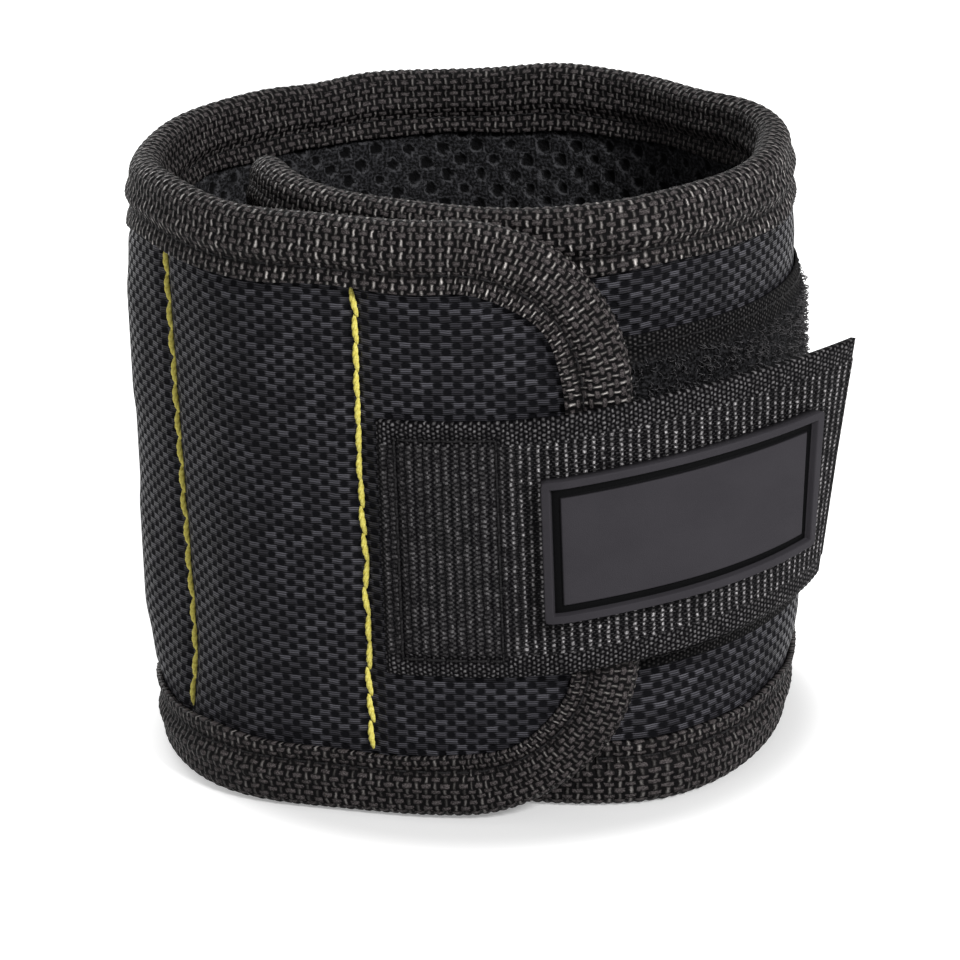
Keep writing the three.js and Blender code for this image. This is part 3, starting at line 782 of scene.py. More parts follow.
def air_mesh():
    """A fine knit with lighter fibres round its holes, whose floors are painted near black, which is painted
    shade.
    """
    paint = Paint("air_mesh", roughness=0.85, specular=0.05)
    vector, _, _, hole = paint.flat()
    fibres = paint.noise(vector, scale=2.1, detail=5.0)
    rim = hole.ramp(0.0, 0.2) * hole.ramp(0.7, 0.3)
    knit = paint.mix(fibres.ramp(0.42, 0.64), colour(22, 22, 23), colour(58, 58, 61))
    lit = paint.mix(rim * fibres.ramp(0.35, 0.55) * 0.7, knit, colour(86, 86, 89))
    # Painted shade: the floor of each hole is painted near black.
    return paint.finish(paint.mix(hole.ramp(0.35, 0.95), lit, colour(15, 15, 16)), fibres, 0.45)


def fine_dots(paint, along, height):
    """The fine weave of a tape's edge, as small dots of varied brightness."""
    dots = Marks(paint, along, height, KNIT_COLUMN / 2, KNIT_ROW)
    return dots.stroke(width=0.45, length=0.45, soft=0.4) * dots.luck.ramp(0.0, 1.0, bottom=0.35)


def knit_strap():
    """Upright columns of flecks tied by thin level lines, closer and dimmer on the sewn base.

    A finer weave runs along both edges.
    """
    paint = Paint("knit_strap", roughness=0.6, specular=0.025)
    vector, along, height, pressed = paint.flat()
    strayed = paint.wander(along, vector, scale=0.9, amount=0.7)
    knit = Marks(paint, strayed, paint.wander(height, vector, scale=1.1, amount=0.6), KNIT_COLUMN, KNIT_ROW)
    dots = fine_dots(paint, strayed, height)
    fibres = paint.noise(vector, scale=4.0, detail=4.0)
    line = abs(knit.along).ramp(0.6, 1.0) * 0.1
    flecked = knit.stroke(width=0.24, length=0.55, soft=0.24).math("MAXIMUM", line)
    columns = flecked * knit.luck.ramp(0.0, 1.0, bottom=0.2)
    free = along.ramp(-6.0, 5.0)
    flecks = free * columns + (1 - free) * (columns * 0.26 + dots * 0.11)
    edge = STRAP_WIDTH / 2 - STRAP_SELVAGE
    selvage = abs(height - STRAP_MIDDLE).ramp(edge - 0.3, edge)
    relief = selvage * (dots * 0.34) + (1 - selvage) * flecks
    bright = relief * fibres.ramp(0.3, 0.6, bottom=0.45) * (1 - pressed * 0.55)
    yarn = paint.mix(fibres.ramp(0.4, 0.7), colour(4, 4, 5), colour(26, 25, 27))
    return paint.finish(paint.mix(bright, yarn, colour(222, 218, 220)), relief + fibres * 0.5, 0.3)


def loop_cloth():
    """A woven backing with a dark brushed pile."""
    paint = Paint("loop_cloth", roughness=0.9, specular=0.04)
    vector, along, height, pile = paint.flat()
    fuzz = paint.noise(vector, scale=2.4, detail=5.0)
    dots = fine_dots(paint, along, height)
    woven = paint.mix(dots, colour(12, 12, 13), colour(92, 90, 90))
    tuft = paint.mix(fuzz.ramp(0.4, 0.7), colour(15, 15, 16), colour(52, 52, 54))
    return paint.finish(paint.mix(pile, woven, tuft), fuzz + dots, 0.3)


def thread(name, dark, light, roughness):
    paint = Paint(name, roughness=roughness, specular=0.07)
    strand = paint.noise(paint.flat()[0], scale=9.0, detail=3.0)
    return paint.finish(paint.mix(strand.ramp(0.3, 0.7), dark, light), strand, 0.05)


def moulded_rubber():
    """Dark grey with a fine grain, and painted black in its groove: painted shade of the groove's depth, and
    the black thread sewn in it.
    """
    paint = Paint("moulded_rubber", roughness=0.6, specular=0.06)
    vector, _, _, groove = paint.flat()
    grain = paint.noise(vector, scale=6.0, detail=5.0)
    bloom = paint.noise(vector, scale=0.12, detail=3.0)
    face = paint.mix(bloom.ramp(0.3, 0.7), colour(52, 50, 54), colour(56, 54, 58))
    fine = paint.mix(grain * 0.3, face, colour(70, 68, 72))
    return paint.finish(paint.mix(groove, fine, colour(3, 3, 4)), grain, 0.05)


def foam():
    paint = Paint("foam", roughness=0.95, specular=0.1)
    cells = paint.noise(paint.flat()[0], scale=1.6, detail=4.0)
    return paint.finish(paint.mix(cells, colour(40, 40, 42), colour(78, 78, 80)), cells, 0.3)


def nickel():
    paint = Paint("nickel", roughness=0.28, specular=0.5)
    paint.put(1.0, paint.shader.inputs["Metallic"])
    scuffs = paint.noise(paint.read("Object", "ShaderNodeTexCoord"), scale=900.0, detail=4.0)
    paint.roughen(scuffs.ramp(0.3, 0.7, bottom=0.2, top=0.42))
    return paint.finish(paint.mix(scuffs, colour(176, 178, 182), colour(206, 206, 204)), scuffs, 0.01)


COVER_CLOTH = cover_cloth()
BINDING_TAPE = binding_tape()
AIR_MESH = air_mesh()
KNIT_STRAP = knit_strap()
LOOP_CLOTH = loop_cloth()
PILE_FIBRE = thread("pile_fibre", colour(18, 18, 19), colour(112, 110, 112), roughness=0.8)
HOOK_PLASTIC = thread("hook_plastic", colour(14, 14, 15), colour(30, 30, 32), roughness=0.4)
BLACK_THREAD = thread("black_thread", colour(14, 14, 15), colour(46, 45, 46), roughness=0.6)
YELLOW_THREAD = thread("yellow_thread", colour(214, 198, 84), colour(246, 237, 134), roughness=0.6)
RUBBER = moulded_rubber()
FOAM = foam()
NICKEL = nickel()


# Sheets and padding of the two halves

def seam_line(number, height):
    """Where a pocket seam crosses the band at a height: the one beside the flap's hinge leans."""
    lean = SEAM_TILT * (height / BAND_WIDTH - 0.5) * (number == FLAP_SEAM)
    return SEAM_FIRST + SEAM_PITCH * number + lean


def seam_gap(place, height):
    """Distance to the nearest pocket seam."""
    nearest = np.clip(np.round((place - SEAM_FIRST) / SEAM_PITCH), 0, MAGNET_COLUMNS)
    return np.abs(place - seam_line(nearest, height))


def over_magnet(place, height, slope):
    """1 over a magnet and its room, falling to 0 within a slope."""
    column = np.clip(np.round((place - SEAM_FIRST) / SEAM_PITCH - 0.5), 0, MAGNET_COLUMNS - 1)
    along = place - SEAM_FIRST - SEAM_PITCH * (column + 0.5)
    across = np.abs(height - BAND_WIDTH / 2) - MAGNET_ROW_SPACING / 2
    return 1 - smoothstep(np.hypot(along, across) - MAGNET_DIAMETER / 2 - POCKET_ROOM, 0, slope)


def quilt(place, height):
    """How far the cover stands off its plain depth.

    Pockets are crowned and drawn in at the seams. On the tail only a strip beside each edge is crowned.
    """
    gap = seam_gap(place, height)
    pocket = (place > SEAM_FIRST) & (place < LAST_SEAM)
    crown = np.sin(np.pi / 2 * np.clip(gap / (SEAM_PITCH / 2), 0, 1)) ** 2 * pocket
    pinch = np.exp(-(gap / SEAM_GROOVE) ** 2)
    from_edge = np.minimum(height, BAND_WIDTH - height)
    free = smoothstep(from_edge, CROWN_START, CROWN_FULL)
    disc = MAGNET_BULGE * over_magnet(place, height, MAGNET_SLOPE)
    beside = 1 - smoothstep(from_edge, STRIP_FULL, (BAND_WIDTH - LOOP_WIDTH) / 2)
    tail = smoothstep(place, LAST_SEAM, LAST_SEAM + SEAM_PITCH / 4)
    tail *= 1 - smoothstep(BAND_LENGTH - place, 2 * CORNER_RADIUS, CORNER_RADIUS + BINDING_WIDTH)
    strip = STRIP_SHARE * tail * beside
    drawn = SEAM_PINCH * pinch * smoothstep(from_edge, PINCH_START, PINCH_FULL)
    return PUFF * (crown + strip) * free - drawn + disc


def stray(column, row, turns):
    """A value from -1 to 1 that changes freely from hole to hole."""
    return np.sin(column * turns[0] + row * turns[1])


def hole_row(place, height, first_place, first_height):
    """Depth of every second row of the lining's holes, each a little out of line."""
    column = np.round((place - first_place) / HOLE_PITCH)
    row = np.round((height - first_height) / (2 * HOLE_ROW))
    along = place - first_place - column * HOLE_PITCH - HOLE_WANDER * stray(column, row, STRAY_ALONG)
    across = height - first_height - row * 2 * HOLE_ROW - HOLE_WANDER * stray(column, row, STRAY_ACROSS)
    radius = HOLE_RADIUS * (1 + HOLE_SPREAD * stray(column, row, STRAY_RADIUS))
    return 1 - smoothstep(np.hypot(along, across), radius - HOLE_EDGE, radius)


def holes(place, height):
    """Depth of the lining's holes, from 0 on the cloth to 1 on a hole's floor."""
    return np.maximum(hole_row(place, height, 0, 0), hole_row(place, height, HOLE_PITCH / 2, HOLE_ROW))


def panel(end, inset, step):
    """Places and heights over one half of the band, from its rounded end to the middle seam."""
    side = 1 if end == 0 else -1
    radius = CORNER_RADIUS - inset
    turn = steps(0, radius * np.pi / 2, step) / radius
    run = steps(CORNER_RADIUS, abs(HALF_SEAM - end), step)
    from_end = np.concatenate([inset + radius * (1 - np.cos(turn)), run[1:]])
    turned = np.clip(radius + inset - from_end, 0, radius)
    low = inset + radius - np.sqrt(radius ** 2 - turned ** 2)
    span = BAND_WIDTH - 2 * inset
    share = steps(0, span, step) / span
    height = low[:, None] + (BAND_WIDTH - 2 * low[:, None]) * share
    return np.broadcast_to((end + side * from_end)[:, None], height.shape), height


def sheet(name, place_point, place, height, outer, inner, material, mark=0.0):
    """A sheet between two depths. The mark is a value that its material reads at each spot."""
    faces = [place_point(place, outer, height), place_point(place, inner, height)[:, ::-1]]
    flat = np.stack(np.broadcast_arrays(place, height, mark), axis=-1)
    flat = np.concatenate([flat, flat[:, ::-1]], axis=1)
    return loft(name, np.concatenate(faces, axis=1), flat, material)


def cover(name, end):
    place, height = panel(end, LAYER_INSET, COVER_STEP)
    raised = quilt(place, height)
    return sheet(name, on_band, place, height, COVER_OUT + raised, COVER_IN + raised, COVER_CLOTH)


def lining(name, end):
    place, height = panel(end, LAYER_INSET, LINING_STEP)
    dimple = holes(place, height)
    return sheet(name, on_band, place, height, LINING_OUT, LINING_IN + HOLE_DEPTH * dimple, AIR_MESH, dimple)


def padding(name, end):
    place, height = panel(end, PADDING_INSET, PADDING_STEP)
    pocket = PADDING_THICKNESS + POCKET_HEADROOM
    inner = PADDING_IN + pocket * over_magnet(place, height, POCKET_EDGE)
    return sheet(name, on_band, place, height, PADDING_OUT + quilt(place, height), inner, FOAM)


# Binding tape and its sewing

def edge_line(end, step):
    """The band's edge round one end: its length so far, its spots and the direction into the band."""
    side = 1 if end == 0 else -1
    straight = abs(HALF_SEAM - end) - CORNER_RADIUS
    corner = CORNER_RADIUS * np.pi / 2
    upright = BAND_WIDTH - 2 * CORNER_RADIUS
    total = 2 * (straight + corner) + upright
    length = np.linspace(0, total, round(total / step) + 1)
    second = straight + corner + upright
    turn = (np.clip(length - straight, 0, corner) + np.clip(length - second, 0, corner)) / CORNER_RADIUS
    there = np.clip(length, 0, straight)
    back = np.clip(length - second - corner, 0, straight)
    climb = np.clip(length - straight - corner, 0, upright)
    into = np.stack([side * np.sin(turn), np.cos(turn)], axis=-1)
    middle = np.stack([HALF_SEAM - side * (there - back), CORNER_RADIUS + climb], axis=-1)
    return length, middle - CORNER_RADIUS * into, into


TAPE_OUT = BINDING_OUT - TAPE_SUNK


def tape_section():
    """The folded tape's outside, from one cut edge round the rim to the other, at even steps."""
    inset = np.linspace(BINDING_WIDTH, TAPE_RIM, SECTION_POINTS)
    share = (BINDING_WIDTH - inset) / (BINDING_WIDTH - TAPE_RIM)
    sewn = TAPE_GROOVE * np.exp(-((inset - STITCH_ROW) / SEWN_REACH) ** 2)
    flare = TAPE_FLARE * smoothstep(inset, STITCH_ROW, BINDING_WIDTH)
    taper = (TAPE_RIM_DEPTH - TAPE_OUT) * smoothstep(share, TAPER_START, 1)
    swollen = TAPE_SWELL * np.sin(np.pi * smoothstep(share, SWELL_START, 1)) ** 2
    wall = np.stack([inset, TAPE_OUT + taper + swollen + flare - sewn], axis=-1)
    turn = np.linspace(0, np.pi, SECTION_POINTS)[1:-1]
    rim = np.stack([
        TAPE_RIM - (TAPE_RIM - TAPE_RELIEF) * np.sin(turn), TAPE_RIM_DEPTH * np.cos(turn)], axis=-1)
    line = np.concatenate([wall, rim, wall[::-1] * (1, -1)])
    run = run_along(line)
    across = np.linspace(0, run[-1], round(run[-1] / (TAPE_ROW / 2)) + 1)
    spots = spots_on(line, run, across)
    slope = np.gradient(spots, axis=0)
    return across, spots, unit(np.stack([slope[:, 1], -slope[:, 0]], axis=-1))


def weave_relief(along, across):
    """Height of the tape's upright bars and of the level yarn between them, from 0 to 1."""
    column = np.floor(along / TAPE_COLUMN)
    side = 2 * (along / TAPE_COLUMN - column) - 1
    turn = across / (2 * TAPE_ROW) + (column % 2) / 2
    spot = np.abs(2 * (turn - np.floor(turn)) - 1)
    bar = (1 - side ** 2) * (1 - smoothstep(spot, *BAR_FADE))
    return bar + YARN_RISE * smoothstep(spot, *YARN_FADE) * (1 - side ** 2 / 2)


def binding(name, end):
    length, spot, into = edge_line(end, TAPE_COLUMN / TAPE_SAMPLES)
    across, section, normal = tape_section()
    rise = TAPE_RELIEF * weave_relief(length[:, None], across)
    outside = section + normal * rise[..., None]
    wall = np.linspace(BINDING_WIDTH, LAYER_INSET - BINDING_GAP, FOLD_POINTS)
    inset = np.concatenate([wall, wall[::-1]])
    depth = np.repeat([-BINDING_IN, BINDING_IN], FOLD_POINTS)
    inside = np.stack([inset, depth], axis=-1)
    profile = np.concatenate([outside, np.broadcast_to(inside, (len(length), *inside.shape))], axis=1)
    wander = TAPE_WANDER * (np.sin(length / LONG_WANDER_RUN) + np.sin(length / SHORT_WANDER_RUN + 2)) / 2
    reach = profile[..., 0] + wander[:, None] * smoothstep(profile[..., 0], WANDER_START, BINDING_WIDTH)
    flat_spot = spot[:, None] + into[:, None] * reach[..., None]
    rings = on_band(flat_spot[..., 0], profile[..., 1], flat_spot[..., 1])
    flat = np.zeros(rings.shape)
    flat[..., 0] = length[:, None]
    flat[..., 1] = np.concatenate([across, np.linspace(across[-1], 0, len(inside))])
    flat[..., 2] = flat_spot[..., 1]
    return loft(name, rings, flat, BINDING_TAPE)


def stitches(place_point, line, surface, rise):
    """Centre lines of stitches along a flat line: each comes up from the cloth and dives again."""
    run = run_along(line)
    count = max(1, round(run[-1] / STITCH_LENGTH))
    share = np.linspace(STITCH_GAP, 1 - STITCH_GAP, STITCH_RINGS)
    spots = spots_on(line, run, (np.arange(count)[:, None] + share) * run[-1] / count)
    depth = surface + rise * np.sin(np.pi * share) - rise / 2
    return place_point(spots[..., 0], depth, spots[..., 1])


def sewing(name, place_point, line, surfaces):
    """A row of fine stitches along a flat line, on each of the surfaces given by depth and side."""
    rows = [stitches(place_point, line, depth, side * STITCH_RISE) for depth, side in surfaces]
    return strands(name, np.concatenate(rows), FINE_STRAND, THREAD_SIDES, BLACK_THREAD)


def binding_stitching(name, end):
    _, spot, into = edge_line(end, SEWING_STEP)
    surface = TAPE_OUT - TAPE_GROOVE
    return sewing(name, on_band, spot + into * STITCH_ROW, ((surface, 1), (-surface, -1)))


# Yellow seams

def pocket_seam(name, number):
    """A row of plump stitches, each of a few plies twisted round one another and leaning its own way."""
    low = BINDING_WIDTH + THREAD_GAP
    count = round((BAND_WIDTH - 2 * low) / SEAM_STITCH)
    pitch = (BAND_WIDTH - 2 * low) / count
    share = np.linspace(-SEAM_OVERLAP, 1 + SEAM_OVERLAP, SEAM_RINGS)
    stitch = np.repeat(np.arange(count), SEAM_PLIES)[:, None]
    ply = np.tile(np.arange(SEAM_PLIES), count)[:, None]
    slack = chance.uniform(*SEAM_SLACK, count)[stitch]
    shift = chance.uniform(-SEAM_SHIFT, SEAM_SHIFT, count)[stitch]
    turn = 2 * np.pi * (SEAM_TURNS * share + ply / SEAM_PLIES)
    full = np.sin(np.pi * np.clip(share, SEAM_TIP, 1 - SEAM_TIP)) ** SEAM_FULLNESS
    height = low + (stitch + share) * pitch
    place = seam_line(number, height) + SEAM_LEAN * (share - 0.5) * slack + shift
    along = place + SEAM_TWIST * full * np.cos(turn)
    seat = COVER_OUT + quilt(place, height)
    depth = seat + SEAM_RISE * full - SEAM_SUNK + SEAM_TWIST * full * np.sin(turn)
    radii = SEAM_PLY * (SEAM_TAPER + (1 - SEAM_TAPER) * full)
    return strands(name, on_band(along, depth, height), radii, SEAM_SIDES, YELLOW_THREAD)


# Loop tape

LOOP_FROM = LAST_SEAM + LOOP_SEAM_MARGIN
LOOP_TO = BAND_LENGTH - BINDING_WIDTH - LOOP_END_MARGIN
LOOP_LOW = (BAND_WIDTH - LOOP_WIDTH) / 2
LOOP_HIGH = LOOP_LOW + LOOP_WIDTH
LOOP_BACKING_OUT = LOOP_SEAT + LOOP_BACKING


def grid(start, stop, low, high, step):
    """Places and heights over a rectangle of flat cloth."""
    return np.meshgrid(steps(start, stop, step), steps(low, high, step), indexing="ij")


def loop_tape(name):
    place, height = grid(LOOP_FROM, LOOP_TO, LOOP_LOW, LOOP_HIGH, LOOP_STEP)
    margin = edge_distance(place, height, LOOP_FROM, LOOP_TO, LOOP_LOW, LOOP_HIGH)
    pile = smoothstep(margin, LOOP_SELVAGE, LOOP_SELVAGE + LOOP_PILE)
    tufts = chance.uniform(*LOOP_TUFT, place.shape)
    drop = LOOP_EDGE_DROP * smoothstep(-margin, -LOOP_EDGE_RUN, 0)
    outer = LOOP_BACKING_OUT + LOOP_PILE * pile * tufts - drop
    return sheet(name, on_band, place, height, outer, LOOP_SEAT, LOOP_CLOTH, pile)


def scatter(low, high):
    """A random value for each loop of the pile."""
    return chance.uniform(low, high, PILE_LOOPS)[:, None]


def loop_pile(name):
    """Small loops of yarn that stand out of the tape."""
    start = LOOP_SELVAGE + PILE_MARGIN
    place = scatter(LOOP_FROM + start, LOOP_TO - start)
    height = scatter(LOOP_LOW + start, LOOP_HIGH - start)
    heading = scatter(0, 2 * np.pi)
    span = scatter(*PILE_SPAN)
    stand = scatter(*PILE_STAND)
    share = np.linspace(0, 1, PILE_RINGS)
    along = span * (share - 0.5)
    depth = LOOP_BACKING_OUT + PILE_ROOT + stand * np.sin(np.pi * share)
    centres = on_band(place + along * np.cos(heading), depth, height + along * np.sin(heading))
    return strands(name, centres, PILE_RADIUS, PILE_SIDES, PILE_FIBRE)


def sewn_box(start, stop, low, high):
    """A rectangle of sewing as one closed flat line."""
    corners = np.array([(start, low), (stop, low), (stop, high), (start, high), (start, low)])
    number = np.arange(len(corners))
    return spots_on(corners, number, np.linspace(0, number[-1], BOX_SPOTS))


def loop_tape_stitching(name):
    margin = LOOP_STITCH_MARGIN
    line = sewn_box(LOOP_FROM + margin, LOOP_TO - margin, LOOP_LOW + margin, LOOP_HIGH - margin)
    return sewing(name, on_band, line, ((LOOP_BACKING_OUT, 1),))


# Hook strap

def strap_sewing():
    margin = STRAP_STITCH_MARGIN
    return -STRAP_BASE + margin, -margin, STRAP_LOW + margin, STRAP_HIGH - margin


def pressed_rows(distance, height):
    """How far the strap is pressed down along its sewing, from 0 to 1."""
    start, stop, low, high = strap_sewing()
    along = np.minimum(np.abs(distance - start), np.abs(distance - stop))
    across = np.minimum(np.abs(height - low), np.abs(height - high))
    beside = (height > low - PRESS_PAST) & (height < high + PRESS_PAST)
    between = (distance > start - PRESS_PAST) & (distance < stop + PRESS_PAST)
    nearest = np.minimum(np.where(beside, along, np.inf), np.where(between, across, np.inf))
    return np.exp(-(nearest / PRESS_REACH) ** 2)


def hook_strap(name):
    distance, height = grid(-STRAP_BASE, STRAP_FREE, STRAP_LOW, STRAP_HIGH, KNIT_COLUMN / KNIT_SAMPLES)
    margin = edge_distance(distance, height, -STRAP_BASE, STRAP_FREE, STRAP_LOW, STRAP_HIGH)
    rounded = STRAP_EDGE_DROP * (1 - smoothstep(margin, 0, STRAP_EDGE_RUN))
    selvage = np.minimum(height - STRAP_LOW, STRAP_HIGH - height) < STRAP_SELVAGE
    ribs = KNIT_RELIEF * np.abs(np.sin(np.pi * distance / KNIT_COLUMN)) - RIB_SUNK
    pressed = pressed_rows(distance, height)
    outer = STRAP_THICKNESS + ribs - rounded - SELVAGE_DROP * selvage - STRAP_PRESS * pressed
    return sheet(name, on_strap, distance, height, outer, 0.0, KNIT_STRAP, pressed)


def strap_stitching(name):
    return sewing(name, on_strap, sewn_box(*strap_sewing()), ((STRAP_THICKNESS - STRAP_PRESS, 1),))


def strap_hooks(name):
    """Bent plastic hooks under the free end, past the flap."""
    place, height = grid(
        STRAP_ON_FLAP + HOOK_START, STRAP_FREE - HOOK_MARGIN,
        STRAP_LOW + STRAP_SELVAGE, STRAP_HIGH - STRAP_SELVAGE, HOOK_PITCH)
    turn = np.linspace(0, HOOK_TURN, HOOK_RINGS)
    drop = np.concatenate([[0.0], HOOK_HEIGHT + HOOK_BEND * np.sin(turn)])
    reach = np.concatenate([[0.0], HOOK_BEND * (1 - np.cos(turn))])
    centres = on_strap(place.ravel()[:, None], -drop, height.ravel()[:, None] + reach)
    return strands(name, centres, HOOK_RADIUS, HOOK_SIDES, HOOK_PLASTIC)


# Rubber patch

PATCH_LOW = STRAP_MIDDLE - PATCH_HEIGHT / 2
PATCH_SEAT = STRAP_THICKNESS + LAYER_GAP
PATCH_FACE = PATCH_SEAT + PATCH_THICKNESS
GROOVE_DEPTH = PATCH_GROOVE_DEPTH / 2  # half the solid's, with the sewing under its floor
GROOVE_START = PATCH_RIM_WIDTH + PATCH_SLOPE
GROOVE_END = GROOVE_START + PATCH_GROOVE_WIDTH
GROOVE_SHADE_FROM = (PATCH_RIM_WIDTH + 0.1, PATCH_RIM_WIDTH + 0.25)  # where the groove's painted black, its shade and black thread, sets in and ends
GROOVE_SHADE_TO = (GROOVE_END + 0.05, GROOVE_END + 0.18)


def patch_lines(size):
    """Lines across the patch, close together where the rim and the groove turn."""
    edge = np.concatenate([
        np.linspace(0, PATCH_EDGE, EDGE_LINES),
        np.linspace(PATCH_RIM_WIDTH - TURN_BEFORE, GROOVE_START + RIM_AFTER, TURN_LINES),
        np.linspace(GROOVE_END - TURN_BEFORE, GROOVE_END + GROOVE_AFTER, TURN_LINES),
    ])
    middle = steps(edge[-1], size - edge[-1], PATCH_STEP)[1:-1]
    return np.concatenate([edge, middle, size - edge[::-1]])


def round_corners(x, y):
    """Moves a rectangle's points near its corners so that square rings become round ones."""
    out_x = np.clip(PATCH_CORNER - np.minimum(x, PATCH_LENGTH - x), 0, None)
    out_y = np.clip(PATCH_CORNER - np.minimum(y, PATCH_HEIGHT - y), 0, None)
    corner = (out_x > 0) & (out_y > 0)
    far = np.where(corner, np.hypot(out_x, out_y), 1)
    drawn = np.where(corner, 1 - np.maximum(out_x, out_y) / far, 0)
    x = x + np.where(x < PATCH_LENGTH / 2, 1, -1) * out_x * drawn
    y = y + np.where(y < PATCH_HEIGHT / 2, 1, -1) * out_y * drawn
    return x, y


def rubber_patch(name):
    x, y = np.meshgrid(patch_lines(PATCH_LENGTH), patch_lines(PATCH_HEIGHT), indexing="ij")
    inset = edge_distance(x, y, 0, PATCH_LENGTH, 0, PATCH_HEIGHT)
    groove = smoothstep(inset, PATCH_RIM_WIDTH - RIM_FALL, GROOVE_START)
    groove *= 1 - smoothstep(inset, GROOVE_END, GROOVE_END + PATCH_SLOPE)
    rim = 1 - smoothstep(inset, PATCH_RIM_WIDTH, GROOVE_END)
    rounded = PATCH_EDGE * (1 - np.sqrt(1 - (1 - np.clip(inset / PATCH_EDGE, 0, 1)) ** 2))
    outer = PATCH_FACE + PATCH_RIM_RISE * rim - rounded
    outer -= (GROOVE_DEPTH + PATCH_RIM_RISE * rim) * groove
    # The groove is painted black: painted shade of its depth, and the black thread sewn in it.
    groove_shade_and_thread = smoothstep(inset, *GROOVE_SHADE_FROM) * (1 - smoothstep(inset, *GROOVE_SHADE_TO))
    x, y = round_corners(x, y)
    return sheet(name, on_strap, PATCH_MARGIN + x, PATCH_LOW + y, outer, STRAP_THICKNESS, RUBBER, groove_shade_and_thread)


def patch_stitching(name):
    inset = (GROOVE_START + GROOVE_END) / 2
    line = sewn_box(
        PATCH_MARGIN + inset, PATCH_MARGIN + PATCH_LENGTH - inset,
        PATCH_LOW + inset, PATCH_LOW + PATCH_HEIGHT - inset)
    return sewing(name, on_strap, line, ((PATCH_FACE - PATCH_GROOVE_DEPTH - PATCH_THREAD_SUNK, 1),))


# Assembly

def ride(body):
    """Carries a piece on one body."""
    return lambda piece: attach(piece, body)


def bend():
    """Carries cloth that crosses a joint: its place is baked into its mesh, and it is put on neither of the
    joint's bodies.
    """
    return lambda piece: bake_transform(piece)


BEND_FLAP = bend()
BEND_TAIL = bend()
BEND_STRAP = bend()


def hang(piece, carry, slot, *nodes):
    """Puts a piece on its bodies, in place of some solids."""
    carry(piece)
    if nodes:
        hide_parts(*nodes)
    return piece


def flat_size(width, length):
    return (width * MM, length * MM)


def add_half(side, end, carry, panels):
    """One half of the cover, lining and padding, which replaces the solids of some panels."""
    flat = flat_size(BAND_WIDTH - 2 * LAYER_INSET, abs(HALF_SEAM - end) - LAYER_INSET)
    pad = hang(padding(f"padding_{side}", end), carry, "padding", *[f"padding_{name}" for name in panels])
    for make, kind in ((cover, "cover"), (lining, "lining")):
        cloth = hang(make(f"{kind}_{side}", end), carry, kind, *[f"{kind}_{name}" for name in panels])


def add_binding(side, end, carry, edges):
    tape = hang(binding(f"binding_{side}", end), carry, "binding", *[f"binding_{name}" for name in edges])
    sewn = [f"binding_stitching_{name}" for name in edges]
    hang(binding_stitching(f"binding_stitching_{side}", end), carry, "black_thread", *sewn)
    flat = flat_size(tape_section()[0][-1], edge_line(end, SEWING_STEP)[0][-1])


def add_seams():
    carriers = {0: ride("flap"), FLAP_SEAM: BEND_FLAP, MAGNET_COLUMNS: BEND_TAIL}
    for number in range(MAGNET_COLUMNS + 1):
        name = f"pocket_seam_{number + 1}"
        seam = pocket_seam(f"{name}_thread", number)
        hang(seam, carriers.get(number, ride("back")), "yellow_thread", name)


def add_loop_tape():
    tape = hang(loop_tape("loop_cloth"), BEND_TAIL, "loop", "loop_tape")
    hang(loop_pile("loop_pile"), BEND_TAIL, "loop")
    hang(loop_tape_stitching("loop_sewing"), BEND_TAIL, "black_thread", "loop_tape_stitching")
    flat = flat_size(LOOP_WIDTH, LOOP_TO - LOOP_FROM)


def add_strap():
    strap = hang(hook_strap("hook_strap"), BEND_STRAP, "strap", "hook_strap_base", "hook_strap_end")
    flat = flat_size(STRAP_WIDTH, STRAP_BASE + STRAP_FREE)
    hang(strap_stitching("strap_sewing"), ride("flap"), "black_thread", "strap_stitching")
    hang(strap_hooks("strap_hooks"), ride("strap_end"), "strap")


def add_patch():
    hang(rubber_patch("patch_moulding"), ride("strap_end"), "rubber", "rubber_patch")
    hang(patch_stitching("patch_sewing"), ride("strap_end"), "black_thread", "patch_stitching")


def plate_magnets():
    for name, node in frame["nodes"].items():
        if name.startswith("magnet_"):
            node.data.materials.clear()
            node.data.materials.append(NICKEL)


# Stage

def glow_share(tree):
    """The floor's own light, less in an oval round the object: a painted shadow there, in which the lamps'
    cast shadow also shows.
    """
    position = tree.read("Position", "ShaderNodeNewGeometry")
    scale = (1 / SHADE_WIDTH, 1 / SHADE_DEPTH, 0.0)
    shift = (0.0, SHADE_FORWARD / SHADE_DEPTH, 0.0)
    oval = tree.read("Vector", "ShaderNodeVectorMath", position, scale, shift, operation="MULTIPLY_ADD")
    away = tree.read("Value", "ShaderNodeVectorMath", oval, operation="LENGTH")
    # Painted shadow: the floor's own light is less inside the oval.
    return away.ramp(SHADE_CORE, 1.0, GLOW_NEAR, GLOW_FAR)


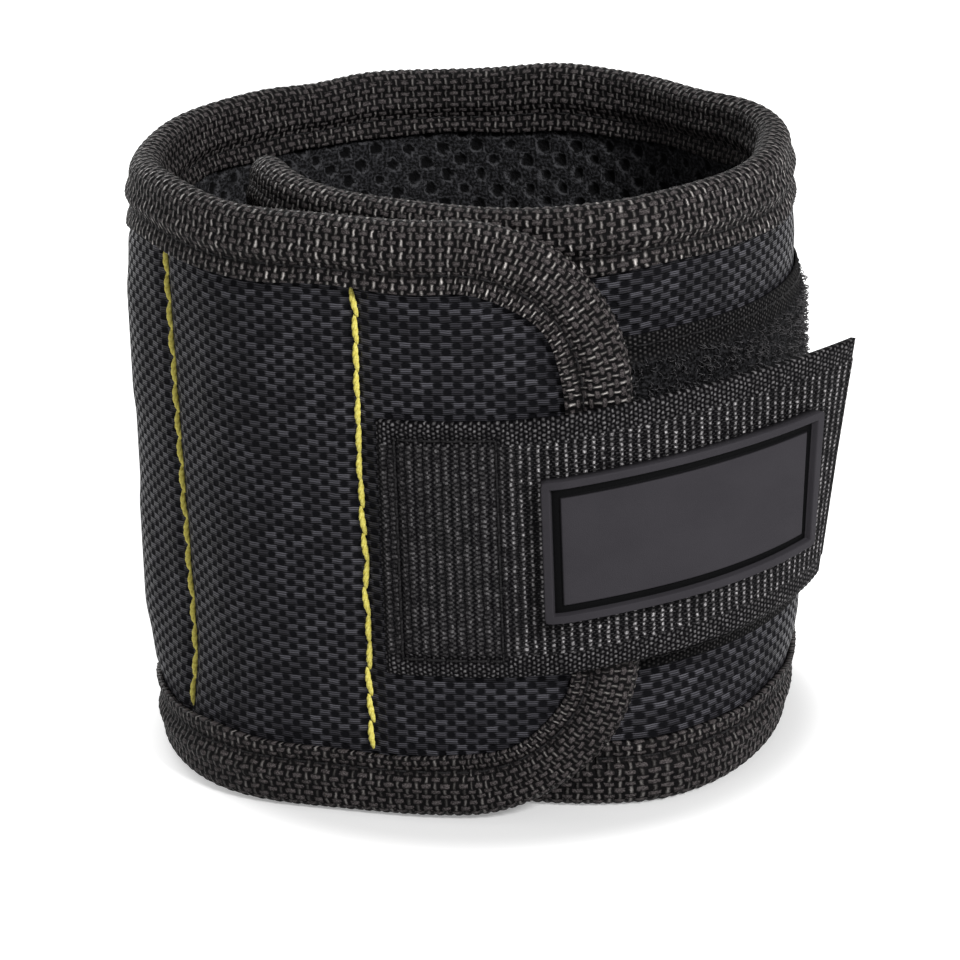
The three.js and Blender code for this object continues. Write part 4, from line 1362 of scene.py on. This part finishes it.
def add_floor():
    mesh = bpy.data.meshes.new("floor")
    corners = [(x * FLOOR_REACH, y * FLOOR_REACH, 0) for x, y in ((-1, -1), (1, -1), (1, 1), (-1, 1))]
    mesh.from_pydata(corners, [], [(0, 1, 2, 3)])
    floor = bpy.data.objects.new("floor", mesh)
    bpy.context.scene.collection.objects.link(floor)
    material = bpy.data.materials.new("white_floor")
    tree = Tree(material)
    tree.nodes.remove(tree.nodes["Principled BSDF"])
    matt = tree.read(0, "ShaderNodeBsdfDiffuse", FLOOR_WHITE)
    glow = tree.read(0, "ShaderNodeEmission", glow_share(tree), tree.seen_by_eye())
    both = tree.read(0, "ShaderNodeAddShader", matt, glow)
    tree.put(both, tree.nodes["Material Output"].inputs["Surface"])
    mesh.materials.append(material)


def add_world():
    world = bpy.data.worlds.new("studio")
    tree = Tree(world)
    background = tree.nodes["Background"].inputs
    tree.put((1, 1, 1, 1), background["Color"])
    tree.put(tree.seen_by_eye() * (1 - WORLD_LIGHT) + WORLD_LIGHT, background["Strength"])
    bpy.context.scene.world = world


def add_lamp(name, place, size, power):
    lamp = bpy.data.lights.new(name, "AREA")
    lamp.shape = "SQUARE"
    lamp.size = size
    lamp.energy = power
    holder = bpy.data.objects.new(name, lamp)
    holder.location = place
    holder.rotation_euler = (Vector(LAMP_AIM) - holder.location).to_track_quat("-Z", "Y").to_euler()
    bpy.context.scene.collection.objects.link(holder)


def add_camera():
    camera = bpy.data.cameras.new("camera")
    camera.lens = CAMERA_LENS
    camera.sensor_width = CAMERA_SENSOR
    holder = bpy.data.objects.new("camera", camera)
    middle = Vector((*ROLL_MIDDLE.ravel(), 0))
    place = (Vector(CAMERA_PLACE) + middle) * MM
    aim = (Vector(CAMERA_AIM) + middle) * MM
    turned = (aim - place).to_track_quat("-Z", "Y").to_matrix().to_4x4()
    roll = Matrix.Rotation(math.radians(CAMERA_ROLL), 4, "Z")
    holder.matrix_world = Matrix.Translation(place) @ turned @ roll
    bpy.context.scene.collection.objects.link(holder)
    bpy.context.scene.camera = holder


add_camera()
add_floor()
add_world()
add_lamp("key", (0.68, -1.0, 0.8), size=0.3, power=16.5)
add_lamp("fill", (-0.9, -0.9, 0.4), size=0.6, power=0.7)
add_lamp("overhead", (0.0, 0.2, 1.1), size=0.8, power=2.6)
add_lamp("back", (-0.5, 1.2, 0.45), size=0.6, power=5.0)
add_half("left", 0, BEND_FLAP, ("flap", "back"))
add_half("right", BAND_LENGTH, BEND_TAIL, ("tail",))
add_binding("left", 0, BEND_FLAP, ("flap", "back_lower", "back_upper"))
add_binding("right", BAND_LENGTH, BEND_TAIL, ("tail",))
add_seams()
add_loop_tape()
add_strap()
add_patch()
plate_magnets()

bpy.context.scene.view_settings.view_transform = "Standard"
